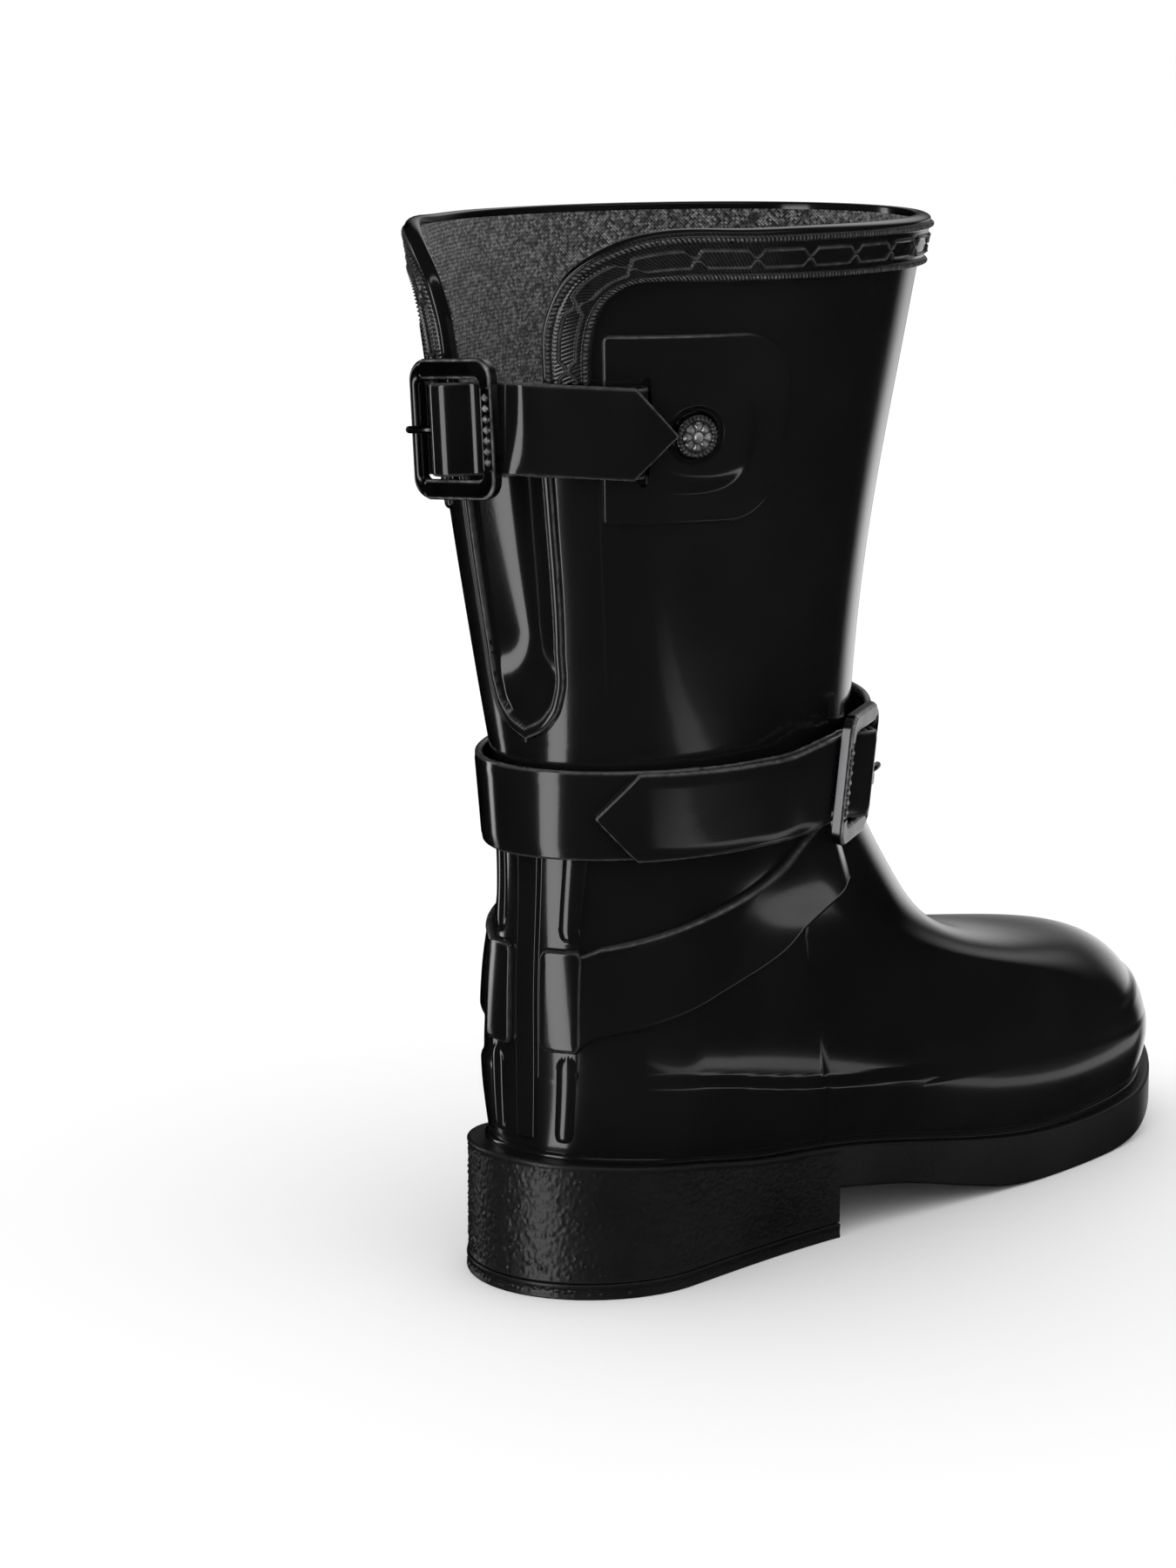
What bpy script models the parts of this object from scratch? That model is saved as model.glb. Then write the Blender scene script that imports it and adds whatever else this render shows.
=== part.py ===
"""Short rubber rain boot, right foot: a glossy moulded upper with an open back, two buckled straps, a block heel.

Every length is in millimetres until add_piece turns it into metres. X runs from the back of the heel to the toe,
-Y is the outer side of the foot, +Y the inner side and Z is up from the floor. A place on the upper is given by phi,
the angle round the boot from the back (0) to the front (180), negative on the outer side, and by a level or a height.
"""
import functools
import math

import bmesh
import bpy
import numpy as np

MM = 0.001
GAP = 0.3
OUTER, INNER = -1, 1

# The outside of the rubber, one closed ring of the foot or leg per level.
# back x, back z, front x, front z, half width, back radius, front radius, how far the ring follows the sole's plan
LEVELS = np.array((
    (8.0, 35.5, 258.5, 18.5, 43.0, 30.0, 40.0, 1.00),
    (8.0, 48.0, 262.0, 32.0, 44.5, 29.0, 42.0, 0.90),
    (8.0, 62.0, 255.0, 49.5, 43.0, 30.0, 50.0, 0.75),
    (8.0, 76.0, 233.0, 60.0, 39.5, 33.0, 60.0, 0.60),
    (8.5, 90.0, 199.0, 65.0, 36.0, 37.0, 70.0, 0.42),
    (9.0, 103.0, 162.0, 75.0, 34.5, 45.0, 70.0, 0.25),
    (9.0, 115.0, 140.0, 93.0, 34.5, 54.0, 66.0, 0.05),
    (8.5, 128.0, 127.5, 114.0, 36.0, 58.0, 60.0, 0.00),
    (6.5, 145.0, 121.5, 140.0, 39.5, 57.5, 57.5, 0.00),
    (2.5, 172.0, 121.5, 170.0, 44.0, 59.5, 59.5, 0.00),
    (-2.0, 200.0, 125.5, 200.0, 48.0, 63.7, 63.7, 0.00),
    (-6.0, 232.0, 131.5, 232.0, 53.0, 68.7, 68.7, 0.00),
    (-11.0, 267.0, 139.0, 267.0, 58.0, 75.0, 75.0, 0.00),
))
RIM_LEVEL = 12.0
SPLIT_LEVEL = 7.25
SPLIT_GAP_LEVELS = 0.02
RUBBER = 2.2
LINING = 1.0
FOOT_START_LEVEL = 0.04
FOOT_LINING_GAP, LEG_LINING_GAP = 1.0, 0.5

# Sole: height of its top along the boot, its underside, and the plan of the foot.
SOLE_TOP = ((0, 35.5), (35, 31.7), (60, 27.5), (88, 25.0), (130, 19.0), (156, 15.0), (200, 13.0), (240, 14.5), (267, 19.5))
SOLE_BOTTOM = ((91, 13.6), (120, 9.4), (146, 3.6), (160, 0.0), (220, 0.0), (244, 3.2), (266, 9.0))
PLAN_X = (0, 35, 70, 110, 150, 185, 215, 262)
PLAN = {OUTER: (28.5, 29.5, 31, 36, 42, 44.5, 43, 36), INNER: (28.5, 29.5, 28, 32, 40.5, 44.5, 42, 34)}
PLAN_WIDEST = 44.5
SOLE_BACK, SOLE_FRONT = 0.0, 266.0
SOLE_BACK_RADIUS, SOLE_FRONT_RADIUS = 34.0, 44.0
SOLE_MARGIN = 3.4
SOLE_EDGE = 1.6
HEEL_BREAST = 91.0
LIFT_HEIGHT = 4.0
LIFT_MARGIN = 0.9
SHANK_BACK, SHANK_FRONT, SHANK_HALF_WIDTH, SHANK_THICK = 52.0, 150.0, 7.0, 1.2
BOARD_THICK, BOARD_INSET = 2.0, 4.9
FOOTBED_THICK, FOOTBED_INSET = 5.0, 6.0

# The opening at the back: its edge and the inside edge of the collar band, as phi and height from the top down.
COLLAR_EDGE = ((60, 267.0), (46, 267.0), (37, 265.0), (29, 261.0), (23, 256.0), (19.5, 250.0), (17.5, 244.0),
               (17.0, 236.0), (17.0, 231.5))
COLLAR_INSIDE = ((62, 255.8), (51, 256.0), (44, 256.0), (38, 255.3), (34, 253.0), (31, 249.5), (29, 244.0),
                 (28.0, 236.0), (28.0, 231.5))
SLOT_EDGE = ((120, 0.6), (141, 0.8), (143, 7.0), (147, 13.0), (153, 16.5), (165, 17.5), (200, 18.0), (226, 17.0),
             (236, 17.0), (244, 17.5), (250, 19.5), (256, 23.0), (261, 29.0), (265, 37.0), (267, 46.0))
COLLAR_THICK = 1.6
BAND_GAP = 0.7
GUSSET_PHI, GUSSET_BOTTOM, GUSSET_TOP = 24.0, 139.5, 216.0
GUSSET_DEPTH, GUSSET_THICK, GUSSET_GAP = 5.5, 1.6, 0.9
# The lining stops beside the gusset between these levels.
GUSSET_LEVELS = (7.5, 10.7)
GUSSET_LINING_PHI = 27.5

# How far forward the two sides of the foot meet the vamp, by level.
SEAM = ((0, 89.0), (3, 84.0), (6, 80.0), (8, 80.0))
SEAM_GAP_PHI = 0.35
# Forward of this angle the leg and its lining share their columns.
SLOT_SHARED_PHI = 53.0

STAY_PHI, STAY_BOTTOM, STAY_TOP, STAY_THICK = 26.0, 38.5, 140.0, 1.3
KEEPER_PHI, KEEPER_BOTTOM, KEEPER_TOP, KEEPER_THICK = (7.5, 26.5), 62.0, 89.0, 1.8
HARNESS_TOP = ((28, 88), (49, 93), (71, 98.5), (89, 106.5), (97, 112), (112, 117))
HARNESS_BOTTOM = ((28, 64), (52, 73), (81, 81), (96, 87.5), (112, 96))
HARNESS_THICK = 1.9
FOXING_TOP = ((80, 40), (105, 38.5), (125, 36), (150, 37), (180, 42))
FOXING_THICK = 0.8
BEAD_RADIUS = 1.1

PATCH_PHI, PATCH_THICK = (31.0, 76.5), 2.1
PATCH_TOP = ((31, 243), (60, 242.5), (69, 239), (76.5, 228))
PATCH_BOTTOM = ((31, 196.5), (60, 197), (69, 200), (76.5, 210))
PATCH_SLOT_PHI = (39.6, 42.8)
STUD_PHI, STUD_Z, STUD_RADIUS, STUD_HEIGHT = 52.5, 219.0, 4.5, 2.6
WASHER_RADIUS, WASHER_THICK = 6.0, 0.8

STRAP_HALF, STRAP_THICK, CHAPE_THICK = 11.1, 2.2, 1.5
TOP_STRAP_Z = 219.5
TOP_BUCKLE_PHI = 9.5
ANKLE_STRAP_Z = 123.5
ANKLE_STRAP_RISE = 7.5
ANKLE_BUCKLE_PHI = -110.0

BUCKLE_HALF_U, BUCKLE_HALF_V, BUCKLE_CORNER = 14.2, 16.6, 5.0
BUCKLE_BAR_U, BUCKLE_BAR_V, BUCKLE_THICK = 4.0, 5.0, 3.3
BUCKLE_LIFT = 3.3
CENTRE_BAR_U, CENTRE_BAR_RADIUS = -2.6, 1.1
CENTRE_BAR_LIFT = 3.4
PRONG_RADIUS = 0.8
PRONG_HOLE_U = (-8.9, -5.2)
PRONG_HOLE_HALF = 1.7
# A strap's way through its buckle, as u and n: under the first bar, over the centre bar, under the last bar.
STRAP_WEAVE = ((-15.5, 0.5), (-12.0, 1.2), (-10.2, 1.5), (-8.9, 2.6), (-5.2, 6.7), (-2.6, 7.8), (0.0, 6.9), (2.2, 4.9),
               (4.6, 2.8), (8.0, 1.9), (12.0, 1.75), (15.0, 1.5))
STRAP_END_U = 15.0
HOLE_STEP = 3
CHAPE_TURNS = (-60, -90, -120, -150, -180, -210, -240, -270, -300)
CHAPE_HOLE_STEPS = (2, 3, 4, 5)
CHAPE_HOLE_SHARE = 0.13
ANKLE_SEAT_LIFT = 2.8


def curve(x, stations):
    """Value at x of a smooth curve through the stations."""
    table = np.asarray(stations, float)
    return table_curve(x, table[:, 0], table[:, 1])


def table_curve(x, xs, ys):
    slopes = np.gradient(ys, xs, axis=0)
    x = min(max(x, xs[0]), xs[-1])
    i = int(min(max(np.searchsorted(xs, x) - 1, 0), len(xs) - 2))
    h = xs[i + 1] - xs[i]
    t = (x - xs[i]) / h
    return ((2 * t**3 - 3 * t**2 + 1) * ys[i] + (t**3 - 2 * t**2 + t) * h * slopes[i]
            + (3 * t**2 - 2 * t**3) * ys[i + 1] + (t**3 - t**2) * h * slopes[i + 1])


def rounded_end(v):
    """Quarter-circle rise from 0 at v = 0 to 1 at v = 1."""
    v = min(max(v, 0.0), 1.0)
    return math.sqrt(1 - (1 - v)**2)


def plan_width(x, side):
    return curve(x, list(zip(PLAN_X, PLAN[side])))


@functools.lru_cache(maxsize=None)
def ring_point(level, phi):
    """The point of the upper's outside at this level and angle."""
    phi = (phi + 180) % 360 - 180
    back_x, back_z, front_x, front_z, half, back_r, front_r, foot = table_curve(level, np.arange(len(LEVELS)), LEVELS)
    length = front_x - back_x
    fit = min(1.0, length / (back_r + front_r))
    back_r *= fit
    front_r *= fit
    turn = math.cos(math.radians(abs(phi)))
    along = min(max((abs(phi) - 35) / 110, 0), 1)
    x = back_x + back_r * (1 - max(turn, 0)) + (length - back_r - front_r) * along + front_r * max(-turn, 0)
    side = OUTER if phi < 0 else INNER
    width = half * (foot * plan_width(x, side) / PLAN_WIDEST + 1 - foot)
    y = side * width * rounded_end((x - back_x) / back_r) * rounded_end((front_x - x) / front_r)
    share = (x - back_x) / length
    sole_line = curve(back_x, SOLE_TOP) * (1 - share) + curve(front_x, SOLE_TOP) * share
    z = back_z * (1 - share) + front_z * share + foot * (curve(x, SOLE_TOP) - sole_line)
    return np.array((x, y, z))


def skin(level, phi, out=0.0):
    """A point this far outside the rubber's outer surface, and the direction out of it."""
    step_phi, step_level = 0.5, 0.02
    low = max(level - step_level, 0.0)
    high = min(level + step_level, RIM_LEVEL)
    round_it = ring_point(level, phi + step_phi) - ring_point(level, phi - step_phi)
    up_it = ring_point(high, phi) - ring_point(low, phi)
    normal = np.cross(up_it, round_it)
    normal /= np.linalg.norm(normal)
    return ring_point(level, phi) + normal * out, normal


@functools.lru_cache(maxsize=None)
def heights(phi):
    levels = np.linspace(0, RIM_LEVEL, 97)
    return levels, np.array([ring_point(float(level), phi)[2] for level in levels])


def level_at(phi, z):
    levels, zs = heights(float(phi))
    return float(np.interp(z, zs, levels))


def skin_z(z, phi, out=0.0):
    return skin(level_at(phi, z), float(phi), out)


def add_piece(name, points, faces, material):
    """One closed solid from points in millimetres."""
    mesh = bpy.data.meshes.new(name)
    mesh.from_pydata([tuple(float(c) * MM for c in p) for p in points], [], faces)
    shape = bmesh.new()
    shape.from_mesh(mesh)
    bmesh.ops.recalc_face_normals(shape, faces=shape.faces)
    shape.to_mesh(mesh)
    shape.free()
    mesh.polygons.foreach_set("use_smooth", [True] * len(mesh.polygons))
    mesh.materials.append(material)
    piece = bpy.data.objects.new(name, mesh)
    bpy.context.collection.objects.link(piece)
    return piece


def slab(name, front, back, material, wrap=False, holes=()):
    """A solid between two matching grids of points; wrap closes it round its columns, holes are cells left open."""
    front, back = np.asarray(front), np.asarray(back)
    rows, columns = front.shape[:2]
    count = rows * columns
    cell_columns = columns if wrap else columns - 1
    solid = {(r, c) for r in range(rows - 1) for c in range(cell_columns)} - set(holes)

    def corner(r, c):
        return r * columns + c % columns

    faces = []
    for r, c in sorted(solid):
        quad = (corner(r, c), corner(r, c + 1), corner(r + 1, c + 1), corner(r + 1, c))
        faces.append(quad)
        faces.append(tuple(count + i for i in reversed(quad)))
        left = (r, (c - 1) % cell_columns if wrap else c - 1)
        right = (r, (c + 1) % cell_columns if wrap else c + 1)
        for beyond, a, b in (((r - 1, c), quad[0], quad[1]), (right, quad[1], quad[2]),
                             ((r + 1, c), quad[2], quad[3]), (left, quad[3], quad[0])):
            if beyond not in solid:
                faces.append((b, a, count + a, count + b))
    points = list(front.reshape(-1, 3)) + list(back.reshape(-1, 3))
    return add_piece(name, points, faces, material)


def shell(name, levels, phis, outside, thick, material, wrap=False):
    """A wall that follows the upper, from a row of levels and, for each of them, its angles."""
    front = [[skin(level, phi, outside)[0] for phi in phis(level)] for level in levels]
    back = [[skin(level, phi, outside - thick)[0] for phi in phis(level)] for level in levels]
    return slab(name, front, back, material, wrap)


def overlay(name, phis, low, high, rows, inside, thick, material, holes=()):
    """A pad on the upper between two height curves of phi."""
    shares = rows if isinstance(rows, tuple) else tuple(np.linspace(0, 1, rows))
    front, back = [], []
    for share in shares:
        zs = [curve(abs(phi), low) * (1 - share) + curve(abs(phi), high) * share for phi in phis]
        front.append([skin_z(z, phi, inside + thick)[0] for z, phi in zip(zs, phis)])
        back.append([skin_z(z, phi, inside)[0] for z, phi in zip(zs, phis)])
    return slab(name, front, back, material, holes=holes)


def rubber(name, shade, roughness):
    return finish(name, (shade, shade, shade * 1.05), roughness, 0.0)


def finish(name, colour, roughness, metallic):
    material = bpy.data.materials.new(name)
    material.use_nodes = True
    shader = material.node_tree.nodes["Principled BSDF"]
    shader.inputs["Base Color"].default_value = (*colour, 1.0)
    shader.inputs["Roughness"].default_value = roughness
    shader.inputs["Metallic"].default_value = metallic
    return material


def sole_stations(back, front, step):
    """Places along the sole, closer together at its rounded ends."""
    count = int((front - back) / step)
    return [back + (front - back) * (1 - math.cos(math.pi * i / count)) / 2 for i in range(count + 1)]


def sole_half(x, side, margin, back, front):
    end = rounded_end((x - back) / SOLE_BACK_RADIUS) * rounded_end((front - x) / SOLE_FRONT_RADIUS)
    return max((plan_width(x, side) + margin) * end, 0.6)


def sole_plate(name, xs, margin, back, front, low, high, material, edge=0.0, groove=None):
    """A flat layer of the sole: low and high give its faces' heights along the boot; groove cuts into its top."""
    groove_half = 0.0 if groove is None else groove[0]
    sections = []
    for x in xs:
        outer = sole_half(x, OUTER, margin, back, front)
        inner = sole_half(x, INNER, margin, back, front)
        cut = 0.0 if groove is None else groove[1](x)
        inset = min(edge, outer / 2, inner / 2)
        wide = min(groove_half, (min(outer, inner) - inset) / 2)
        bottom, top = low(x), high(x)
        section = [(x, -outer + inset, bottom), (x, -outer, bottom + edge), (x, -outer, top - edge),
                   (x, -outer + inset, top), (x, inner - inset, top), (x, inner, top - edge),
                   (x, inner, bottom + edge), (x, inner - inset, bottom)]
        if not edge:
            section = [section[0], section[3], section[4], section[7]]
        if groove is not None:
            middle = len(section) // 2
            section[middle:middle] = [(x, -wide, top), (x, -wide + 0.01, top - cut),
                                      (x, wide - 0.01, top - cut), (x, wide, top)]
        sections.append(section)
    size = len(sections[0])
    points = [p for section in sections for p in section]
    faces = []
    for s in range(len(sections) - 1):
        for k in range(size):
            a, b = s * size + k, s * size + (k + 1) % size
            faces.append((a, b, b + size, a + size))
    faces.append(tuple(range(size)))
    last = (len(sections) - 1) * size
    faces.append(tuple(last + k for k in range(size)))
    return add_piece(name, points, faces, material)


def sole_pieces(sole_rubber, board_material, foam, steel):
    def top(x):
        return curve(x, SOLE_TOP)

    def outsole_bottom(x):
        return LIFT_HEIGHT + GAP if x <= HEEL_BREAST else max(curve(x, SOLE_BOTTOM), 0.0)

    def groove_depth(x):
        return SHANK_THICK + 2 * GAP if SHANK_BACK - 1 <= x <= SHANK_FRONT + 1 else 0.0

    xs = sole_stations(SOLE_BACK, SOLE_FRONT, 9.0)
    for edge_x in (HEEL_BREAST, SHANK_BACK - 1, SHANK_FRONT + 1):
        xs += [edge_x - 0.02, edge_x + 0.02]
    for corner_x in (SOLE_BOTTOM[3][0], SOLE_BOTTOM[4][0]):
        xs.append(corner_x)
    sole_plate("outsole", sorted(xs), SOLE_MARGIN, SOLE_BACK, SOLE_FRONT, outsole_bottom, top, sole_rubber,
               SOLE_EDGE, (SHANK_HALF_WIDTH + GAP, groove_depth))

    lift_xs = [x for x in sole_stations(SOLE_BACK, SOLE_FRONT, 9.0) if x < HEEL_BREAST - 3] + [HEEL_BREAST]
    sole_plate("heel_top_lift", lift_xs, SOLE_MARGIN + LIFT_MARGIN, SOLE_BACK - LIFT_MARGIN, SOLE_FRONT,
               lambda x: 0.0, lambda x: LIFT_HEIGHT, sole_rubber)

    shank_xs = np.linspace(SHANK_BACK, SHANK_FRONT, 10)
    low = [[(x, y, top(x) - SHANK_THICK - GAP) for x in shank_xs] for y in (-SHANK_HALF_WIDTH, SHANK_HALF_WIDTH)]
    high = [[(x, y, z + SHANK_THICK) for x, y, z in row] for row in low]
    slab("shank", high, low, steel)

    board_xs = sole_stations(12.0, 254.0, 14.0)
    sole_plate("insole_board", board_xs, -BOARD_INSET, 11.5, 254.5, lambda x: top(x) + GAP,
               lambda x: top(x) + GAP + BOARD_THICK, board_material)
    bed_low = GAP * 2 + BOARD_THICK
    bed_xs = sole_stations(14.0, 252.0, 14.0)
    sole_plate("footbed", bed_xs, -FOOTBED_INSET, 13.5, 252.5, lambda x: top(x) + bed_low,
               lambda x: top(x) + bed_low + FOOTBED_THICK, foam)


def seam_phi(level):
    """The angle at which this level's ring crosses the side seam."""
    phis = np.linspace(60, 130, 36)
    return float(np.interp(curve(level, SEAM), [ring_point(level, float(phi))[0] for phi in phis], phis))


def slot_phi(level):
    """Half the opening at the back, at this level of the leg."""
    phi = 17.0
    for _ in range(4):
        phi = curve(ring_point(level, round(float(phi), 3))[2], SLOT_EDGE)
    return phi


def upper_pieces(gloss, textile):
    foot_levels = [FOOT_START_LEVEL, 0.5, 1, 1.7, 2.5, 3.3, 4.1, 5, 6, SPLIT_LEVEL]
    def counter_phis(level):
        return list(np.linspace(-seam_phi(level), seam_phi(level), 21))

    def vamp_phis(level):
        start = seam_phi(level) + SEAM_GAP_PHI
        return list(np.linspace(start, 360 - start, 25))

    def all_round(level):
        return counter_phis(level) + vamp_phis(level)

    shell("heel_counter", foot_levels, counter_phis, 0.0, RUBBER, gloss)
    shell("vamp", foot_levels, vamp_phis, 0.0, RUBBER, gloss)
    shell("foot_lining", foot_levels[1:], all_round, -RUBBER - FOOT_LINING_GAP, LINING, textile, wrap=True)

    leg_start = SPLIT_LEVEL + SPLIT_GAP_LEVELS
    leg_levels = [leg_start, 7.6, 7.82, 7.95, 8.15, 8.45, 9, 10, 10.55, 10.8, 11.3, 11.6, 11.8, 11.93, RIM_LEVEL]

    def open_back(start):
        side = list(np.linspace(start, SLOT_SHARED_PHI, 5))
        front = list(np.linspace(SLOT_SHARED_PHI, 360 - SLOT_SHARED_PHI, 24))
        return side + front[1:-1] + [360 - phi for phi in reversed(side)]

    def leg_phis(level):
        return open_back(slot_phi(level))

    def lining_phis(level):
        beside_gusset = GUSSET_LEVELS[0] < level < GUSSET_LEVELS[1]
        return open_back(GUSSET_LINING_PHI if beside_gusset else slot_phi(level) + 1.0)

    shell("leg_upper", leg_levels, leg_phis, 0.0, RUBBER, gloss)
    shell("leg_lining", leg_levels[:-1], lining_phis, -RUBBER - LEG_LINING_GAP, LINING, textile)


def collar(gloss):
    """The raised band along the topline and down both sides of the opening."""
    corners = list(zip(COLLAR_EDGE, COLLAR_INSIDE))[::-1]
    over_front = [((phi, 267.0), (phi, 255.5)) for phi in np.linspace(70, 290, 23)]
    path = [(INNER, a, b) for a, b in corners]
    path += [(INNER if a[0] <= 180 else OUTER, (min(a[0], 360 - a[0]), a[1]), (min(b[0], 360 - b[0]), b[1]))
             for a, b in over_front]
    path += [(OUTER, a, b) for a, b in corners[::-1]]
    front, back = [], []
    for share in (0.0, 0.5, 1.0):
        places = [(side * (a[0] * (1 - share) + b[0] * share), a[1] * (1 - share) + b[1] * share)
                  for side, a, b in path]
        front.append([skin_z(z, phi, BAND_GAP + COLLAR_THICK)[0] for phi, z in places])
        back.append([skin_z(z, phi, BAND_GAP)[0] for phi, z in places])
    slab("collar_band", front, back, gloss)


def gusset(gloss):
    """The hollowed panel that closes the lower part of the back opening from inside."""
    front, back = [], []
    for z in np.linspace(GUSSET_BOTTOM, GUSSET_TOP, 8):
        row_front, row_back = [], []
        deep = math.sin(math.pi * min(max((z - GUSSET_BOTTOM) / 40, 0), 1) / 2)
        for phi in np.linspace(-GUSSET_PHI, GUSSET_PHI, 11):
            hollow = GUSSET_DEPTH * deep * max(math.cos(math.pi * phi / 2 / 17.0), 0) if abs(phi) < 17 else 0.0
            outside = -RUBBER - GUSSET_GAP - hollow
            row_front.append(skin_z(z, phi, outside)[0])
            row_back.append(skin_z(z, phi, outside - GUSSET_THICK)[0])
        front.append(row_front)
        back.append(row_back)
    slab("gusset", front, back, gloss)


def moulded_bands(gloss):
    overlay("back_stay", np.linspace(-STAY_PHI, STAY_PHI, 9), ((0, STAY_BOTTOM), (90, STAY_BOTTOM)),
            ((0, STAY_TOP), (90, STAY_TOP)), 8, GAP, STAY_THICK, gloss)
    keeper_low = ((0, KEEPER_BOTTOM), (90, KEEPER_BOTTOM))
    keeper_high = ((0, KEEPER_TOP), (90, KEEPER_TOP))
    keeper_inside = 2 * GAP + STAY_THICK
    for word, side in (("outer", OUTER), ("inner", INNER)):
        keeper_phis = side * np.linspace(KEEPER_PHI[0], KEEPER_PHI[1] - 1.5, 4)
        overlay(f"heel_keeper_{word}", keeper_phis, keeper_low, keeper_high, 3, keeper_inside, KEEPER_THICK, gloss)
        band_phis = side * np.linspace(KEEPER_PHI[1] + 1.5, 112, 18)
        overlay(f"harness_band_{word}", band_phis, HARNESS_BOTTOM, HARNESS_TOP, 4, BAND_GAP, HARNESS_THICK, gloss)


def foxing(gloss):
    """The shallow raised guard round the forefoot, just above the sole."""
    front, back = [], []
    phis = [phi if phi <= 180 else phi - 360 for phi in np.linspace(80, 280, 33)]
    for share in (0.0, 0.35, 0.7, 1.0):
        row_front, row_back = [], []
        for phi in phis:
            low = ring_point(0.0, phi)[2] + 3.4
            z = low + (curve(abs(phi), FOXING_TOP) - low) * share
            row_front.append(skin_z(z, phi, BAND_GAP + FOXING_THICK)[0])
            row_back.append(skin_z(z, phi, BAND_GAP)[0])
        front.append(row_front)
        back.append(row_back)
    slab("foxing_band", front, back, gloss)


def welt_bead(gloss):
    """The round bead that runs all round the upper where it meets the outsole."""
    points = []
    phis = np.linspace(-180, 180, 65)[:-1]
    sides = 6
    for phi in phis:
        foot, normal = skin(0.02, float(phi))
        away = np.array((normal[0], normal[1], 0.0))
        away /= np.linalg.norm(away)
        centre = foot + away * (BEAD_RADIUS + GAP + 0.35)
        centre[2] = curve(centre[0], SOLE_TOP) + BEAD_RADIUS + GAP
        for k in range(sides):
            turn = math.tau * (k + 0.5) / sides
            points.append(centre + BEAD_RADIUS * (away * math.cos(turn) + np.array((0, 0, math.sin(turn)))))
    faces = []
    count = len(phis)
    for i in range(count):
        for k in range(sides):
            a, b = i * sides + k, i * sides + (k + 1) % sides
            c, d = (i + 1) % count * sides + (k + 1) % sides, (i + 1) % count * sides + k
            faces.append((a, b, c, d))
    add_piece("welt_bead", points, faces, gloss)


def patches(gloss, metal):
    """The moulded pads that anchor the top strap, each with its slot, stud and washer."""
    low_z, high_z = PATCH_BOTTOM[0][1], PATCH_TOP[0][1]
    slot_rows = tuple((TOP_STRAP_Z + k * (STRAP_HALF + 1.0) - low_z) / (high_z - low_z) for k in (-1, 1))
    rows = (0.0, 0.08, slot_rows[0], 0.5, slot_rows[1], 0.92, 1.0)
    columns = (PATCH_PHI[0], 35.0, *PATCH_SLOT_PHI, 48.0, 54.0, 60.0, 65.0, 70.0, 74.5, PATCH_PHI[1])
    for word, side in (("outer", OUTER), ("inner", INNER)):
        overlay(f"strap_patch_{word}", side * np.array(columns), PATCH_BOTTOM, PATCH_TOP, rows, GAP, PATCH_THICK,
                gloss, holes=((2, 2), (3, 2)))
        seat = GAP + PATCH_THICK + GAP
        disc(f"stud_washer_{word}", side * STUD_PHI, seat + 0.35, WASHER_RADIUS, WASHER_THICK, 0.9, metal)
        disc(f"stud_{word}", side * STUD_PHI, seat + 0.35 + WASHER_THICK + GAP, STUD_RADIUS, STUD_HEIGHT, 0.7, metal)


def disc(name, phi, lift, radius, height, crown, material):
    """A round button standing on the strap patch, a little narrower at its face."""
    foot, normal = skin_z(STUD_Z, phi, lift)
    across = np.cross(normal, (0.0, 0.0, 1.0))
    across /= np.linalg.norm(across)
    up = np.cross(across, normal)
    sides = 20
    points, faces = [], []
    for share, rise in ((1.0, 0.0), (1.0, 0.6), (crown, 1.0)):
        for k in range(sides):
            turn = math.tau * k / sides
            spread = radius * share * (across * math.cos(turn) + up * math.sin(turn))
            points.append(foot + normal * height * rise + spread)
    for ring in range(2):
        for k in range(sides):
            a, b = ring * sides + k, ring * sides + (k + 1) % sides
            faces.append((a, b, b + sides, a + sides))
    faces.append(tuple(range(sides)))
    faces.append(tuple(range(2 * sides, 3 * sides)))
    add_piece(name, points, faces, material)


class Seat:
    """Where a buckle lies: u runs along the strap towards its free end, v across it and n away from the boot."""

    def __init__(self, phi, z, lift, towards):
        self.origin, self.n = skin_z(z, phi, lift)
        level_tangent = np.cross((0.0, 0.0, 1.0), self.n)
        self.u = level_tangent / np.linalg.norm(level_tangent)
        if np.dot(self.u, towards) < 0:
            self.u = -self.u
        self.v = np.cross(self.n, self.u)
        if self.v[2] < 0:
            self.v = -self.v

    def at(self, u, v, n):
        return self.origin + self.u * u + self.v * v + self.n * n


def rounded_rectangle(half_u, half_v, corner, steps):
    corners = ((half_u - corner, half_v - corner, 0), (-half_u + corner, half_v - corner, 90),
               (-half_u + corner, -half_v + corner, 180), (half_u - corner, -half_v + corner, 270))
    points = []
    for u, v, start in corners:
        for k in range(steps + 1):
            turn = math.radians(start + 90 * k / steps)
            points.append((u + corner * math.cos(turn), v + corner * math.sin(turn)))
    return points


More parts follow.
